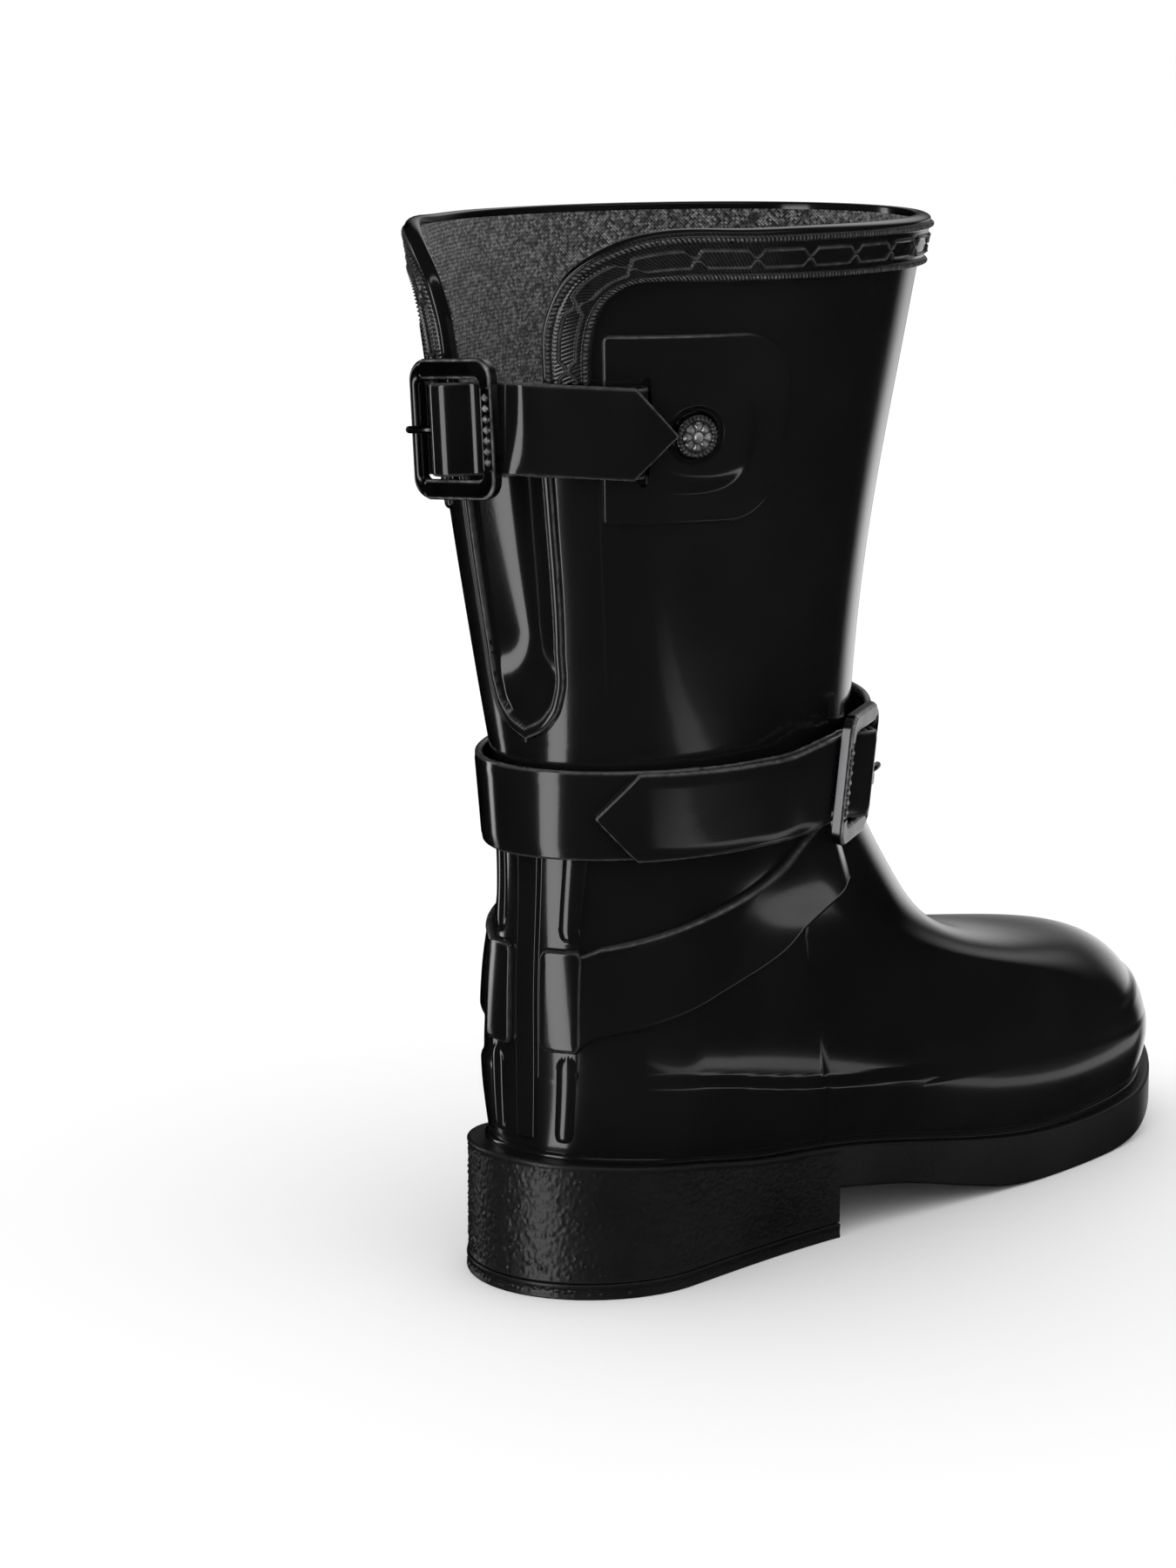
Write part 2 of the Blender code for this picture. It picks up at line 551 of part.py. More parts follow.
def buckle(word, seat, metal):
    """A frame, its centre bar and its prong."""
    steps = 4
    outline = rounded_rectangle(BUCKLE_HALF_U, BUCKLE_HALF_V, BUCKLE_CORNER, steps)
    window = rounded_rectangle(BUCKLE_HALF_U - BUCKLE_BAR_U, BUCKLE_HALF_V - BUCKLE_BAR_V, 1.5, steps)
    count = len(outline)
    loops = ((outline, BUCKLE_LIFT), (outline, BUCKLE_LIFT + BUCKLE_THICK),
             (window, BUCKLE_LIFT + BUCKLE_THICK), (window, BUCKLE_LIFT))
    points = [seat.at(u, v, n) for loop, n in loops for u, v in loop]
    faces = []
    for ring in range(4):
        for k in range(count):
            a, b = ring * count + k, ring * count + (k + 1) % count
            c, d = (ring + 1) % 4 * count + (k + 1) % count, (ring + 1) % 4 * count + k
            faces.append((a, b, c, d))
    add_piece(f"{word}_buckle_frame", points, faces, metal)

    reach = BUCKLE_HALF_V - BUCKLE_BAR_V - GAP
    rod(f"{word}_buckle_bar", seat, [(CENTRE_BAR_U, -reach, CENTRE_BAR_LIFT), (CENTRE_BAR_U, reach, CENTRE_BAR_LIFT)],
        CENTRE_BAR_RADIUS, metal)
    start = CENTRE_BAR_U - CENTRE_BAR_RADIUS - GAP - PRONG_RADIUS
    top = BUCKLE_LIFT + BUCKLE_THICK + GAP + PRONG_RADIUS
    tip = -BUCKLE_HALF_U + 0.8
    rod(f"{word}_buckle_prong", seat, [(start, 0, CENTRE_BAR_LIFT), (tip + BUCKLE_BAR_U, 0, top), (tip, 0, top)],
        PRONG_RADIUS, metal)


def rod(name, seat, path, radius, material):
    """A round bar along a path given in a buckle's own directions."""
    sides = 8
    path = [np.array(p, float) for p in path]
    points, faces = [], []
    for i, place in enumerate(path):
        ahead = path[min(i + 1, len(path) - 1)] - path[max(i - 1, 0)]
        ahead /= np.linalg.norm(ahead)
        across = np.cross(ahead, (0.0, 0.0, 1.0))
        across /= np.linalg.norm(across)
        other = np.cross(ahead, across)
        for k in range(sides):
            turn = math.tau * k / sides
            points.append(seat.at(*(place + radius * (across * math.cos(turn) + other * math.sin(turn)))))
    for ring in range(len(path) - 1):
        for k in range(sides):
            a, b = ring * sides + k, ring * sides + (k + 1) % sides
            faces.append((a, b, b + sides, a + sides))
    faces.append(tuple(range(sides)))
    faces.append(tuple((len(path) - 1) * sides + k for k in range(sides)))
    add_piece(name, points, faces, material)


def ribbon(name, path, half, thick, material, rows=(-1.0, 1.0), holes=(), wrap=False):
    """A strap along a path of (centre, up direction) pairs."""
    centres = np.array([p for p, _ in path])
    ups = np.array([u / np.linalg.norm(u) for _, u in path])
    count = len(centres)
    front, back = [], []
    for row in rows:
        row_front, row_back = [], []
        for i in range(count):
            before, after = ((i - 1) % count, (i + 1) % count) if wrap else (max(i - 1, 0), min(i + 1, count - 1))
            ahead = centres[after] - centres[before]
            normal = np.cross(ahead, ups[i])
            normal /= np.linalg.norm(normal)
            middle = centres[i] + ups[i] * half * (row(i) if callable(row) else row)
            row_front.append(middle + normal * thick / 2)
            row_back.append(middle - normal * thick / 2)
        front.append(row_front)
        back.append(row_back)
    return slab(name, front, back, material, wrap, holes)


def on_skin(z, phi, out):
    """A strap path's place on the boot: its centre and the direction up the leg."""
    centre, _ = skin_z(z, phi, out)
    above, _ = skin_z(z + 6, phi, out)
    below, _ = skin_z(z - 6, phi, out)
    return centre, above - below


def tip_rows(count, tip_count):
    """The two long edges of a strap end that narrows to a blunt point."""
    def share(i):
        left = count - 1 - i
        return min(1.0, 0.12 + 0.88 * left / tip_count)

    return (lambda i: -share(i), lambda i: share(i))


def weave(seat):
    return [(seat.at(u, 0, n), seat.v) for u, n in STRAP_WEAVE]


def chape_loop(seat):
    """The chape's turn round the centre bar."""
    radius = CENTRE_BAR_RADIUS + GAP + CHAPE_THICK / 2
    return [(seat.at(CENTRE_BAR_U + radius * math.cos(turn), 0, CENTRE_BAR_LIFT + radius * math.sin(turn)), seat.v)
            for turn in np.radians(CHAPE_TURNS)]


def strap_with_hole(name, before, seat, material):
    """A strap that comes to its buckle along a path and weaves through it, with the hole its prong sits in."""
    hole_share = PRONG_HOLE_HALF / STRAP_HALF
    rows = (-1.0, -hole_share, hole_share, 1.0)
    ribbon(name, before + weave(seat), STRAP_HALF, STRAP_THICK, material, rows, holes=((1, len(before) + HOLE_STEP),))


def chape(name, before, seat, material):
    """The short piece that holds the buckle by its centre bar, split in the middle for the prong."""
    rows = (-1.0, -CHAPE_HOLE_SHARE, CHAPE_HOLE_SHARE, 1.0)
    holes = [(1, len(before) + step) for step in CHAPE_HOLE_STEPS]
    ribbon(name, before + chape_loop(seat), STRAP_HALF - 0.4, CHAPE_THICK, material, rows, holes)


def top_strap(gloss, metal):
    """The short strap across the open back, with its buckle."""
    seat = Seat(TOP_BUCKLE_PHI, TOP_STRAP_Z, GAP, (0, -1, 0))
    buckle("top", seat, metal)
    from_slot = [on_skin(TOP_STRAP_Z, phi, out) for phi, out in ((41.6, 2.3), (40.6, 3.4), (38.5, 4.0), (35.0, 4.2))]
    strap_with_hole("top_strap", from_slot, seat, gloss)
    tail = [(seat.at(STRAP_END_U + GAP, 0, 1.5), seat.v)]
    tail += [on_skin(TOP_STRAP_Z, phi, out) for phi, out in
             ((-10.5, 4.9), (-17, 4.9), (-24, 5.4), (-30, 6.1), (-36.5, 6.2), (-41.5, 6.2), (-46.5, 6.0))]
    ribbon("top_strap_tail", tail, STRAP_HALF, STRAP_THICK, gloss, tip_rows(len(tail), 2))
    to_slot = [on_skin(TOP_STRAP_Z, phi, out) for phi, out in
               ((-41.6, 2.0), (-40.6, 3.2), (-38.5, 3.7), (-35, 3.8), (-28, 3.3), (-20, 1.8), (-10, 1.4))]
    to_slot += [(seat.at(12.0, 0, -0.4), seat.v), (seat.at(8.0, 0, -0.1), seat.v), (seat.at(3.0, 0, 0.3), seat.v)]
    chape("top_chape", to_slot, seat, gloss)


def ankle_z(phi):
    """Height of the ankle strap's middle; it climbs towards the front."""
    return ANKLE_STRAP_Z + ANKLE_STRAP_RISE * ((1 - math.cos(math.radians(phi))) / 2)**2


def ankle_out(phi):
    """How far the ankle strap's middle stands off the rubber; most at the front."""
    return 3.6 + 2.0 * ((1 - math.cos(math.radians(phi))) / 2)**2


def ankle_strap(gloss, metal):
    """The strap round the ankle: once round from its chape to its buckle, then back along the outer side."""
    seat = Seat(ANKLE_BUCKLE_PHI, ankle_z(ANKLE_BUCKLE_PHI), ANKLE_SEAT_LIFT, (-1, 0, 0))
    buckle("ankle", seat, metal)
    start = -58.0
    round_it = [on_skin(ankle_z(phi), phi, ankle_out(phi)) for phi in np.linspace(start, 227, 38)]
    strap_with_hole("ankle_strap", round_it, seat, gloss)
    tail = [(seat.at(STRAP_END_U + GAP, 0, 1.5), seat.v)]
    tail += [on_skin(ankle_z(phi), phi, ankle_out(phi) + STRAP_THICK + GAP + 0.15)
             for phi in (-88, -80, -71, -62, -53, -46, -39, -27)]
    ribbon("ankle_strap_tail", tail, STRAP_HALF, STRAP_THICK, gloss, tip_rows(len(tail), 1))
    from_strap = [on_skin(ankle_z(phi), phi, ankle_out(phi) - 0.2) for phi in (start - 0.8, -68, -78, -88)]
    from_strap += [(seat.at(12.0, 0, -0.4), seat.v), (seat.at(8.0, 0, -0.1), seat.v), (seat.at(3.0, 0, 0.3), seat.v)]
    chape("ankle_chape", from_strap, seat, gloss)


def stand_on_origin():
    """Put the middle of the boot's footprint on the origin."""
    corners = np.array([piece.matrix_world @ vertex.co for piece in bpy.data.objects for vertex in piece.data.vertices])
    low, high = corners.min(0), corners.max(0)
    shift = (-(low[0] + high[0]) / 2, -(low[1] + high[1]) / 2, -low[2])
    for piece in bpy.data.objects:
        piece.location = shift


def main():
    for old in list(bpy.data.objects):
        bpy.data.objects.remove(old)
    gloss = rubber("gloss_rubber", 0.012, 0.12)
    sole_rubber = rubber("sole_rubber", 0.014, 0.45)
    textile = rubber("textile", 0.05, 0.9)
    board_material = finish("board", (0.35, 0.28, 0.2), 0.8, 0.0)
    foam = finish("foam", (0.06, 0.06, 0.065), 0.85, 0.0)
    steel = finish("steel", (0.5, 0.5, 0.52), 0.35, 1.0)
    metal = finish("black_metal", (0.05, 0.05, 0.055), 0.2, 1.0)
    sole_pieces(sole_rubber, board_material, foam, steel)
    upper_pieces(gloss, textile)
    collar(gloss)
    gusset(gloss)
    moulded_bands(gloss)
    foxing(gloss)
    welt_bead(gloss)
    patches(gloss, metal)
    top_strap(gloss, metal)
    ankle_strap(gloss, metal)
    stand_on_origin()


main()
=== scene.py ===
"""Looks of a short glossy rubber rain boot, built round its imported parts.

Lengths are in millimetres until closed_mesh turns them into metres. X runs from the back of the heel to
the toe, -Y is the outer side of the foot, +Y the inner side and Z is up from the floor. A place on the upper
is given by phi, the angle round the boot from the back (0) to the front (180), negative on the outer side,
and by a level or a height.
"""

import math

import bmesh
import bpy
import numpy as np
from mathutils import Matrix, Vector, noise


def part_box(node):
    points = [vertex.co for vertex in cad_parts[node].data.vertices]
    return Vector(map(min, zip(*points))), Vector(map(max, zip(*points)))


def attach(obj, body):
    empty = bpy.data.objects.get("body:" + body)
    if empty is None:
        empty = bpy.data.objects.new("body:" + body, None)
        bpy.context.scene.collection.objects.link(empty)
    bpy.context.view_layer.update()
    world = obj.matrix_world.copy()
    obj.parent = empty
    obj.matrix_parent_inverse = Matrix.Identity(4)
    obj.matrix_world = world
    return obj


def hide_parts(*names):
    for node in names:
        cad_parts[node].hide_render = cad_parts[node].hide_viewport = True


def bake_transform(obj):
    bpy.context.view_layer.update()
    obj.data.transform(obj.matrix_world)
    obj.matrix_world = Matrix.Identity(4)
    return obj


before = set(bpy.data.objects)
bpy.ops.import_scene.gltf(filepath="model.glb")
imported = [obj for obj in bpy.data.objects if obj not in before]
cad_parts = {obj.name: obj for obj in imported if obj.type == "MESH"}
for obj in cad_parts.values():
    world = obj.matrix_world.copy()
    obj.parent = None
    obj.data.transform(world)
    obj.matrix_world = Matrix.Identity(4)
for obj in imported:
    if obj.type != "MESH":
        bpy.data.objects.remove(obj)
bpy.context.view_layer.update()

MM = 0.001
OUTER, INNER = -1, 1
SIDES = (("outer", OUTER), ("inner", INNER))
ORIGIN = np.array((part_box("outsole")[0].x, 0.0, 0.0))

# The outside of the rubber, one closed ring of the foot or leg per level.
# back x, back z, front x, front z, half width, back radius, front radius, how far it follows the sole's plan
LEVELS = (
    (8.0, 35.5, 258.0, 22.8, 43.0, 30.0, 40.0, 1.00),
    (8.0, 48.0, 261.5, 34.5, 44.5, 29.0, 42.0, 0.90),
    (8.0, 62.0, 255.5, 47.5, 43.0, 30.0, 50.0, 0.75),
    (8.0, 76.0, 235.0, 56.5, 39.5, 33.0, 60.0, 0.60),
    (8.5, 90.0, 202.0, 60.5, 36.0, 37.0, 70.0, 0.42),
    (9.0, 103.0, 167.0, 70.5, 34.5, 45.0, 70.0, 0.25),
    (9.0, 115.0, 145.5, 90.0, 34.5, 54.0, 66.0, 0.05),
    (8.5, 128.0, 127.5, 114.0, 36.0, 58.0, 60.0, 0.00),
    (6.5, 145.0, 121.5, 140.0, 39.5, 57.5, 57.5, 0.00),
    (2.5, 172.0, 121.5, 170.0, 44.0, 59.5, 59.5, 0.00),
    (-2.0, 200.0, 125.5, 200.0, 48.0, 63.7, 63.7, 0.00),
    (-6.0, 232.0, 131.5, 232.0, 53.0, 68.7, 68.7, 0.00),
    (-11.0, 267.0, 139.0, 267.0, 58.0, 75.0, 75.0, 0.00),
)
RIM_LEVEL, RIM_Z = 12.0, 267.0
SPLIT_LEVEL, FOOT_START_LEVEL = 7.25, 0.04
RUBBER, LINING = 2.2, 1.0

SOLE_TOP_STATIONS = ((0, 35.5), (35, 31.7), (60, 27.5), (88, 25.0), (130, 19.0), (156, 15.0), (200, 13.0),
                     (240, 17.4), (267, 25.5))
SOLE_BOTTOM_STATIONS = ((91, 13.6), (118, 9.4), (140, 4.4), (156, 1.1), (172, 0.0), (206, 0.0), (217, 1.0),
                        (230, 4.2), (244, 9.4), (256, 14.6), (266, 20.0))
PLAN_X = (0, 35, 70, 110, 150, 185, 215, 262)
PLAN_HALVES = {OUTER: (28.5, 29.5, 31, 36, 42, 44.5, 43, 36), INNER: (28.5, 29.5, 28, 32, 40.5, 44.5, 42, 34)}
PLAN_WIDEST = 44.5
SOLE_BACK, SOLE_FRONT = 0.0, 264.5
SOLE_BACK_RADIUS, SOLE_FRONT_RADIUS = 34.0, 47.0
SOLE_MARGIN = 3.4
HEEL_BREAST = 91.0
LIFT_HEIGHT, LIFT_LIP = 4.0, 0.15

COLLAR_EDGE = ((17.0, 231.5), (17.0, 236.0), (17.5, 244.0), (19.5, 250.0), (23, 256.0), (29, 261.0),
               (37, 265.0), (46, 267.0), (60, 267.0))
COLLAR_INSIDE = ((28.0, 231.5), (28.0, 236.0), (29, 244.0), (31, 249.5), (34, 253.0), (38, 255.3),
                 (44, 256.0), (51, 256.0), (62, 255.8))
SLOT_STATIONS = ((120, 0.6), (141, 0.8), (143, 7.0), (147, 13.0), (153, 16.5), (165, 17.5), (200, 18.0),
                 (226, 17.0), (236, 17.0), (244, 17.5), (250, 19.5), (256, 23.0), (261, 29.0), (265, 37.0),
                 (267, 46.0))
SLOT_SHARED_PHI = 53.0
SEAM_STATIONS = ((0, 89.0), (3, 84.0), (6, 80.0), (8, 80.0))
QUARTER_LINE_PHI = 31.0

HARNESS_TOP = ((28, 88), (49, 93), (71, 98.5), (89, 106.5), (97, 112), (112, 117))
HARNESS_BOTTOM = ((28, 64), (52, 73), (81, 81), (96, 87.5), (112, 96))
FOXING_TOP = ((80, 40), (105, 38.5), (125, 36), (150, 37), (180, 42))
MUDGUARD_TOP = ((0, 57), (37, 53), (70, 46), (104, 41), (150, 37.5), (197, 37), (235, 41), (262, 44))
BEAD_RADIUS = 1.1
STUD_PHI, STUD_Z, STUD_RADIUS, WASHER_RADIUS = 52.5, 219.0, 5.4, 6.0

STRAP_HALF, STRAP_THICK, CHAPE_THICK = 11.4, 2.2, 1.5
TOP_STRAP_Z, TOP_BUCKLE_PHI = 219.5, 9.5
ANKLE_STRAP_Z, ANKLE_STRAP_RISE, ANKLE_BUCKLE_PHI = 123.5, 7.5, -110.0
GAP = 0.3
ANKLE_SEAT_LIFT = 2.8
BUCKLE_HALF_U, BUCKLE_HALF_V, BUCKLE_CORNER = 14.8, 17.2, 5.0
BUCKLE_BAR_U, BUCKLE_BAR_V, BUCKLE_THICK, BUCKLE_LIFT = 4.1, 5.1, 3.3, 3.3
CENTRE_BAR_U, CENTRE_BAR_RADIUS, CENTRE_BAR_LIFT = -2.6, 1.1, 3.4
STRAP_WEAVE = ((-15.5, 0.5), (-12.0, 1.2), (-10.2, 1.5), (-8.9, 2.6), (-5.2, 6.7), (-2.6, 7.8), (0.0, 6.9),
               (2.2, 4.9), (4.6, 2.8), (8.0, 1.9), (12.0, 1.75), (15.0, 1.5))
CHAPE_UNDER_BUCKLE = ((12.0, -0.4), (8.0, -0.1), (3.0, 0.3))
PRONG_HOLE_U, PRONG_HOLE_LIFT, PRONG_HOLE_RADIUS = -7.1, 4.6, 1.55
BED_BACK, BED_FRONT, BED_LIFT, BED_THICK = 13.5, 252.5, 2.6, 5.0
BAND_WIDTH, BAND_SHARE_WIDTH, BAND_STEP = 12.0, 11.4, 0.25


# ---------------------------------------------------------------- curves and the surface of the upper

class Curve:
    """A smooth curve through stations. even makes its bend continuous too, for surfaces with reflections."""

    def __init__(self, xs, ys, even=False):
        self.xs = np.asarray(xs, float)
        self.ys = np.asarray(ys, float)
        self.slopes = np.gradient(self.ys, self.xs, axis=0)
        if even:
            self.slopes = self.even_slopes()

    def even_slopes(self):
        steps = np.diff(self.xs)
        rises = np.diff(self.ys, axis=0) / (steps[:, None] if self.ys.ndim > 1 else steps)
        matrix = np.eye(len(self.xs))
        right = self.slopes.copy()
        for i in range(1, len(self.xs) - 1):
            matrix[i, i - 1:i + 2] = steps[i], 2 * (steps[i - 1] + steps[i]), steps[i - 1]
            right[i] = 3 * (steps[i] * rises[i - 1] + steps[i - 1] * rises[i])
        return np.linalg.solve(matrix, right)

    def __call__(self, x):
        x = np.clip(np.asarray(x, float), self.xs[0], self.xs[-1])
        i = np.clip(np.searchsorted(self.xs, x) - 1, 0, len(self.xs) - 2)
        h = self.xs[i + 1] - self.xs[i]
        t = (x - self.xs[i]) / h
        if self.ys.ndim > 1:
            h, t = h[..., None], t[..., None]
        return ((2 * t**3 - 3 * t**2 + 1) * self.ys[i] + (t**3 - 2 * t**2 + t) * h * self.slopes[i]
                + (3 * t**2 - 2 * t**3) * self.ys[i + 1] + (t**3 - t**2) * h * self.slopes[i + 1])


def through(stations, even=False):
    table = np.asarray(stations, float)
    return Curve(table[:, 0], table[:, 1], even)


level_rows = Curve(range(len(LEVELS)), LEVELS, even=True)
sole_top = through(SOLE_TOP_STATIONS, even=True)
sole_bottom = through(SOLE_BOTTOM_STATIONS)
slot_edge = through(SLOT_STATIONS)
seam_x = through(SEAM_STATIONS)
mudguard_top = through(MUDGUARD_TOP, even=True)
plan_halves = {side: Curve(PLAN_X, PLAN_HALVES[side], even=True) for side in (OUTER, INNER)}


def smooth_step(x, start, end):
    """0 before start, 1 after end, smooth between them."""
    t = np.clip((x - start) / (end - start), 0, 1)
    return t * t * (3 - 2 * t)


def rounded_end(v):
    """Quarter-circle rise from 0 at v = 0 to 1 at v = 1."""
    return np.sqrt(1 - (1 - np.clip(v, 0, 1))**2)


def spaced(start, *stretches):
    """Evenly spaced numbers in stretches, each given by its end and its count of numbers with both ends."""
    found = np.array((start,), float)
    for end, count in stretches:
        found = np.concatenate((found, np.linspace(found[-1], end, count)[1:]))
    return found


def ridge(x, centre, half):
    """A smooth bump of height 1 at centre that ends at half to either side."""
    return smooth_step(np.abs(x - centre), half, 0)


def ring(level, phi):
    """Points of the upper's outside at these levels and angles."""
    level, phi = np.broadcast_arrays(np.asarray(level, float), np.asarray(phi, float))
    phi = (phi + 180) % 360 - 180
    back_x, back_z, front_x, front_z, half, back_r, front_r, foot = np.moveaxis(level_rows(level), -1, 0)
    length = front_x - back_x
    fit = np.minimum(1.0, length / (back_r + front_r))
    back_r, front_r = back_r * fit, front_r * fit
    turn = np.cos(np.radians(np.abs(phi)))
    along = np.clip((np.abs(phi) - 35) / 110, 0, 1)
    x = (back_x + back_r * (1 - np.maximum(turn, 0)) + (length - back_r - front_r) * along
         + front_r * np.maximum(-turn, 0))
    plan = np.where(phi < 0, plan_halves[OUTER](x), plan_halves[INNER](x)) / PLAN_WIDEST
    width = half * (foot * plan + 1 - foot)
    y = np.sign(phi) * width * rounded_end((x - back_x) / back_r) * rounded_end((front_x - x) / front_r)
    share = (x - back_x) / length
    sole_line = sole_top(back_x) * (1 - share) + sole_top(front_x) * share
    z = back_z * (1 - share) + front_z * share + foot * (sole_top(x) - sole_line)
    return np.stack((x, y, z), -1)


def unit(vectors):
    return vectors / np.linalg.norm(vectors, axis=-1, keepdims=True)


def skin(level, phi, out=0.0):
    """Points this far outside the rubber's outer surface, and the directions out of it."""
    level, phi, out = np.broadcast_arrays(*(np.asarray(a, float) for a in (level, phi, out)))
    step_phi, step_level = 0.5, 0.02
    round_it = ring(level, phi + step_phi) - ring(level, phi - step_phi)
    above, below = np.minimum(level + step_level, RIM_LEVEL), np.maximum(level - step_level, 0)
    normal = unit(np.cross(ring(above, phi) - ring(below, phi), round_it))
    return ring(level, phi) + normal * out[..., None], normal


def level_at(phi, z):
    """The levels at which the upper's surface has these heights, found by halving."""
    phi, z = np.broadcast_arrays(np.asarray(phi, float), np.asarray(z, float))
    low, high = np.zeros(phi.shape), np.full(phi.shape, RIM_LEVEL)
    for _ in range(20):
        middle = (low + high) / 2
        above = ring(middle, phi)[..., 2] > z
        low, high = np.where(above, low, middle), np.where(above, middle, high)
    return (low + high) / 2


def skin_z(z, phi, out=0.0):
    """As skin, by height. Above the rim the surface goes straight on up."""
    z, phi, out = np.broadcast_arrays(*(np.asarray(a, float) for a in (z, phi, out)))
    points, normal = skin(level_at(phi, z), phi, out)
    points = points.copy()
    points[..., 2] += np.maximum(z - RIM_Z, 0)
    return points, normal


def arc(z, phi):
    """Distance round the upper from the back, at one height."""
    angles = np.linspace(0, 180, 361)
    lengths = lengths_along(skin_z(z, angles)[0], 0)
    return np.sign(phi) * np.interp(np.abs(phi), angles, lengths)


# ---------------------------------------------------------------- meshes

def turn_faces_out(mesh, weld=0.0):
    """Points the faces of a closed mesh outwards, after making points less than weld metres apart one."""
    shape = bmesh.new()
    shape.from_mesh(mesh)
    if weld:
        bmesh.ops.remove_doubles(shape, verts=shape.verts, dist=weld)
    bmesh.ops.recalc_face_normals(shape, faces=shape.faces)
    shape.to_mesh(mesh)
    shape.free()


def closed_mesh(name, points, faces):
    """A mesh from points in millimetres, with its faces pointing out."""
    mesh = bpy.data.meshes.new(name)
    corners = [list(map(int, face)) for face in faces]
    mesh.from_pydata((np.asarray(points) * MM + ORIGIN).tolist(), [], corners)
    turn_faces_out(mesh)
    return mesh


def link(name, data):
    placed = bpy.data.objects.new(name, data)
    bpy.context.collection.objects.link(placed)
    return placed


def add_piece(name, points, faces, uv, material, body="boot", sharp=50, wear=None, replaced=None):
    """A shown piece from points in millimetres, which stands for the node of its name or those in replaced.

    The wear and highlight mask is 1 on the moulded edges, which have lost their gloss there and are lightened
    as a painted highlight.
    """
    mesh = closed_mesh(name, points, faces)
    index = np.empty(len(mesh.loops), np.int32)
    mesh.loops.foreach_get("vertex_index", index)
    layer = mesh.uv_layers.new(name="surface_mm")
    layer.data.foreach_set("uv", np.asarray(uv, np.float32)[index].ravel())
    if wear is not None:
        attribute = mesh.attributes.new("wear", "FLOAT", "POINT")
        attribute.data.foreach_set("value", np.asarray(wear, np.float32).ravel())
    mesh.polygons.foreach_set("use_smooth", [True] * len(mesh.polygons))
    mesh.set_sharp_from_angle(angle=math.radians(sharp))
    mesh.materials.append(material)
    piece = link(name, mesh)
    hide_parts(*(replaced or [name]))
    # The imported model's materials have these names too, so a number may follow the name.
    if body:
        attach(piece, body)
    return piece


def lengths_along(points, axis):
    steps = np.linalg.norm(np.diff(points, axis=axis), axis=-1)
    start = np.zeros_like(np.take(steps, [0], axis=axis))
    return np.concatenate((start, np.cumsum(steps, axis=axis)), axis=axis)


def grid_quads(rows, columns, rows_closed=False, columns_closed=False):
    """The quads of a grid of points, which may close on itself, and each quad's row and column."""
    r, c = np.meshgrid(np.arange(rows if rows_closed else rows - 1),
                       np.arange(columns if columns_closed else columns - 1), indexing="ij")
    r, c = r.ravel(), c.ravel()
    here, after, beside = r * columns, (r + 1) % rows * columns, (c + 1) % columns
    return np.stack((here + c, here + beside, after + beside, after + c), 1), r, c


def slab_mesh(front, back, wrap):
    """Points, faces and surface lengths of a solid between two grids; wrap closes it round its columns."""
    rows, columns = front.shape[:2]
    count = rows * columns
    quads, r, c = grid_quads(rows, columns, columns_closed=wrap)
    faces = [quads, quads[:, ::-1] + count]
    borders = [(r == 0, 0, 1), (r == rows - 2, 2, 3)]
    if not wrap:
        borders += [(c == columns - 2, 1, 2), (c == 0, 3, 0)]
    for on_border, a, b in borders:
        a, b = quads[on_border, a], quads[on_border, b]
        faces.append(np.stack((b, a, a + count, b + count), 1))
    middle = columns // 2
    along = lengths_along(front, 1)
    uv = np.stack((along - along[:, middle:middle + 1], lengths_along(front, 0)), -1).reshape(-1, 2)
    return (np.concatenate((front.reshape(-1, 3), back.reshape(-1, 3))), np.concatenate(faces),
            np.concatenate((uv, uv)))


def slab(name, front, back, material, wrap=False, wear=None, **options):
    points, faces, uv = slab_mesh(front, back, wrap)
    if wear is not None:
        wear = np.broadcast_to(wear, front.shape[:2])
        options["wear"] = np.stack((wear, wear))
    return add_piece(name, points, faces, uv, material, **options)


def tube_mesh(sections, ring_closed=False):
    """A closed solid from matching cross sections; ring_closed joins the last section to the first."""
    sections = np.asarray(sections)
    count, size = sections.shape[:2]
    faces = grid_quads(count, size, ring_closed, columns_closed=True)[0].tolist()
    if not ring_closed:
        faces.append(list(range(size)))
        faces.append([(count - 1) * size + i for i in range(size)])
    uv = np.stack((lengths_along(sections, 0), lengths_along(sections, 1)), -1).reshape(-1, 2)
    return sections.reshape(-1, 3), faces, uv


def tube(name, sections, material, ring_closed=False, **options):
    points, faces, uv = tube_mesh(sections, ring_closed)
    return add_piece(name, points, faces, uv, material, **options)


def round_rod(path, radii, sides=16):
    """Cross sections of a round rod along a path. Its ends are round where the radii shrink to near 0."""
    path, radii = np.asarray(path, float), np.asarray(radii, float)
    ahead = unit(np.gradient(path, axis=0))
    across = unit(np.cross(ahead, np.roll(ahead, 1, axis=-1) + (0.31, 0.17, 0.9)))
    for i in range(1, len(path)):
        across[i] = unit(across[i - 1] - ahead[i] * np.dot(across[i - 1], ahead[i]))
    other = np.cross(ahead, across)
    turn = np.linspace(0, math.tau, sides, endpoint=False)
    spread = across[:, None] * np.cos(turn)[None, :, None] + other[:, None] * np.sin(turn)[None, :, None]
    return path[:, None] + spread * radii[:, None, None]


def pad(name, phis, zs, height, material, **options):
    """A moulded detail on the upper whose face stands height above the skin, and whose back is sunk in it."""
    front = skin_z(zs, phis, height)[0]
    back = skin_z(zs, phis, np.minimum(height, 0) - 0.5)[0]
    return slab(name, front, back, material, **options)


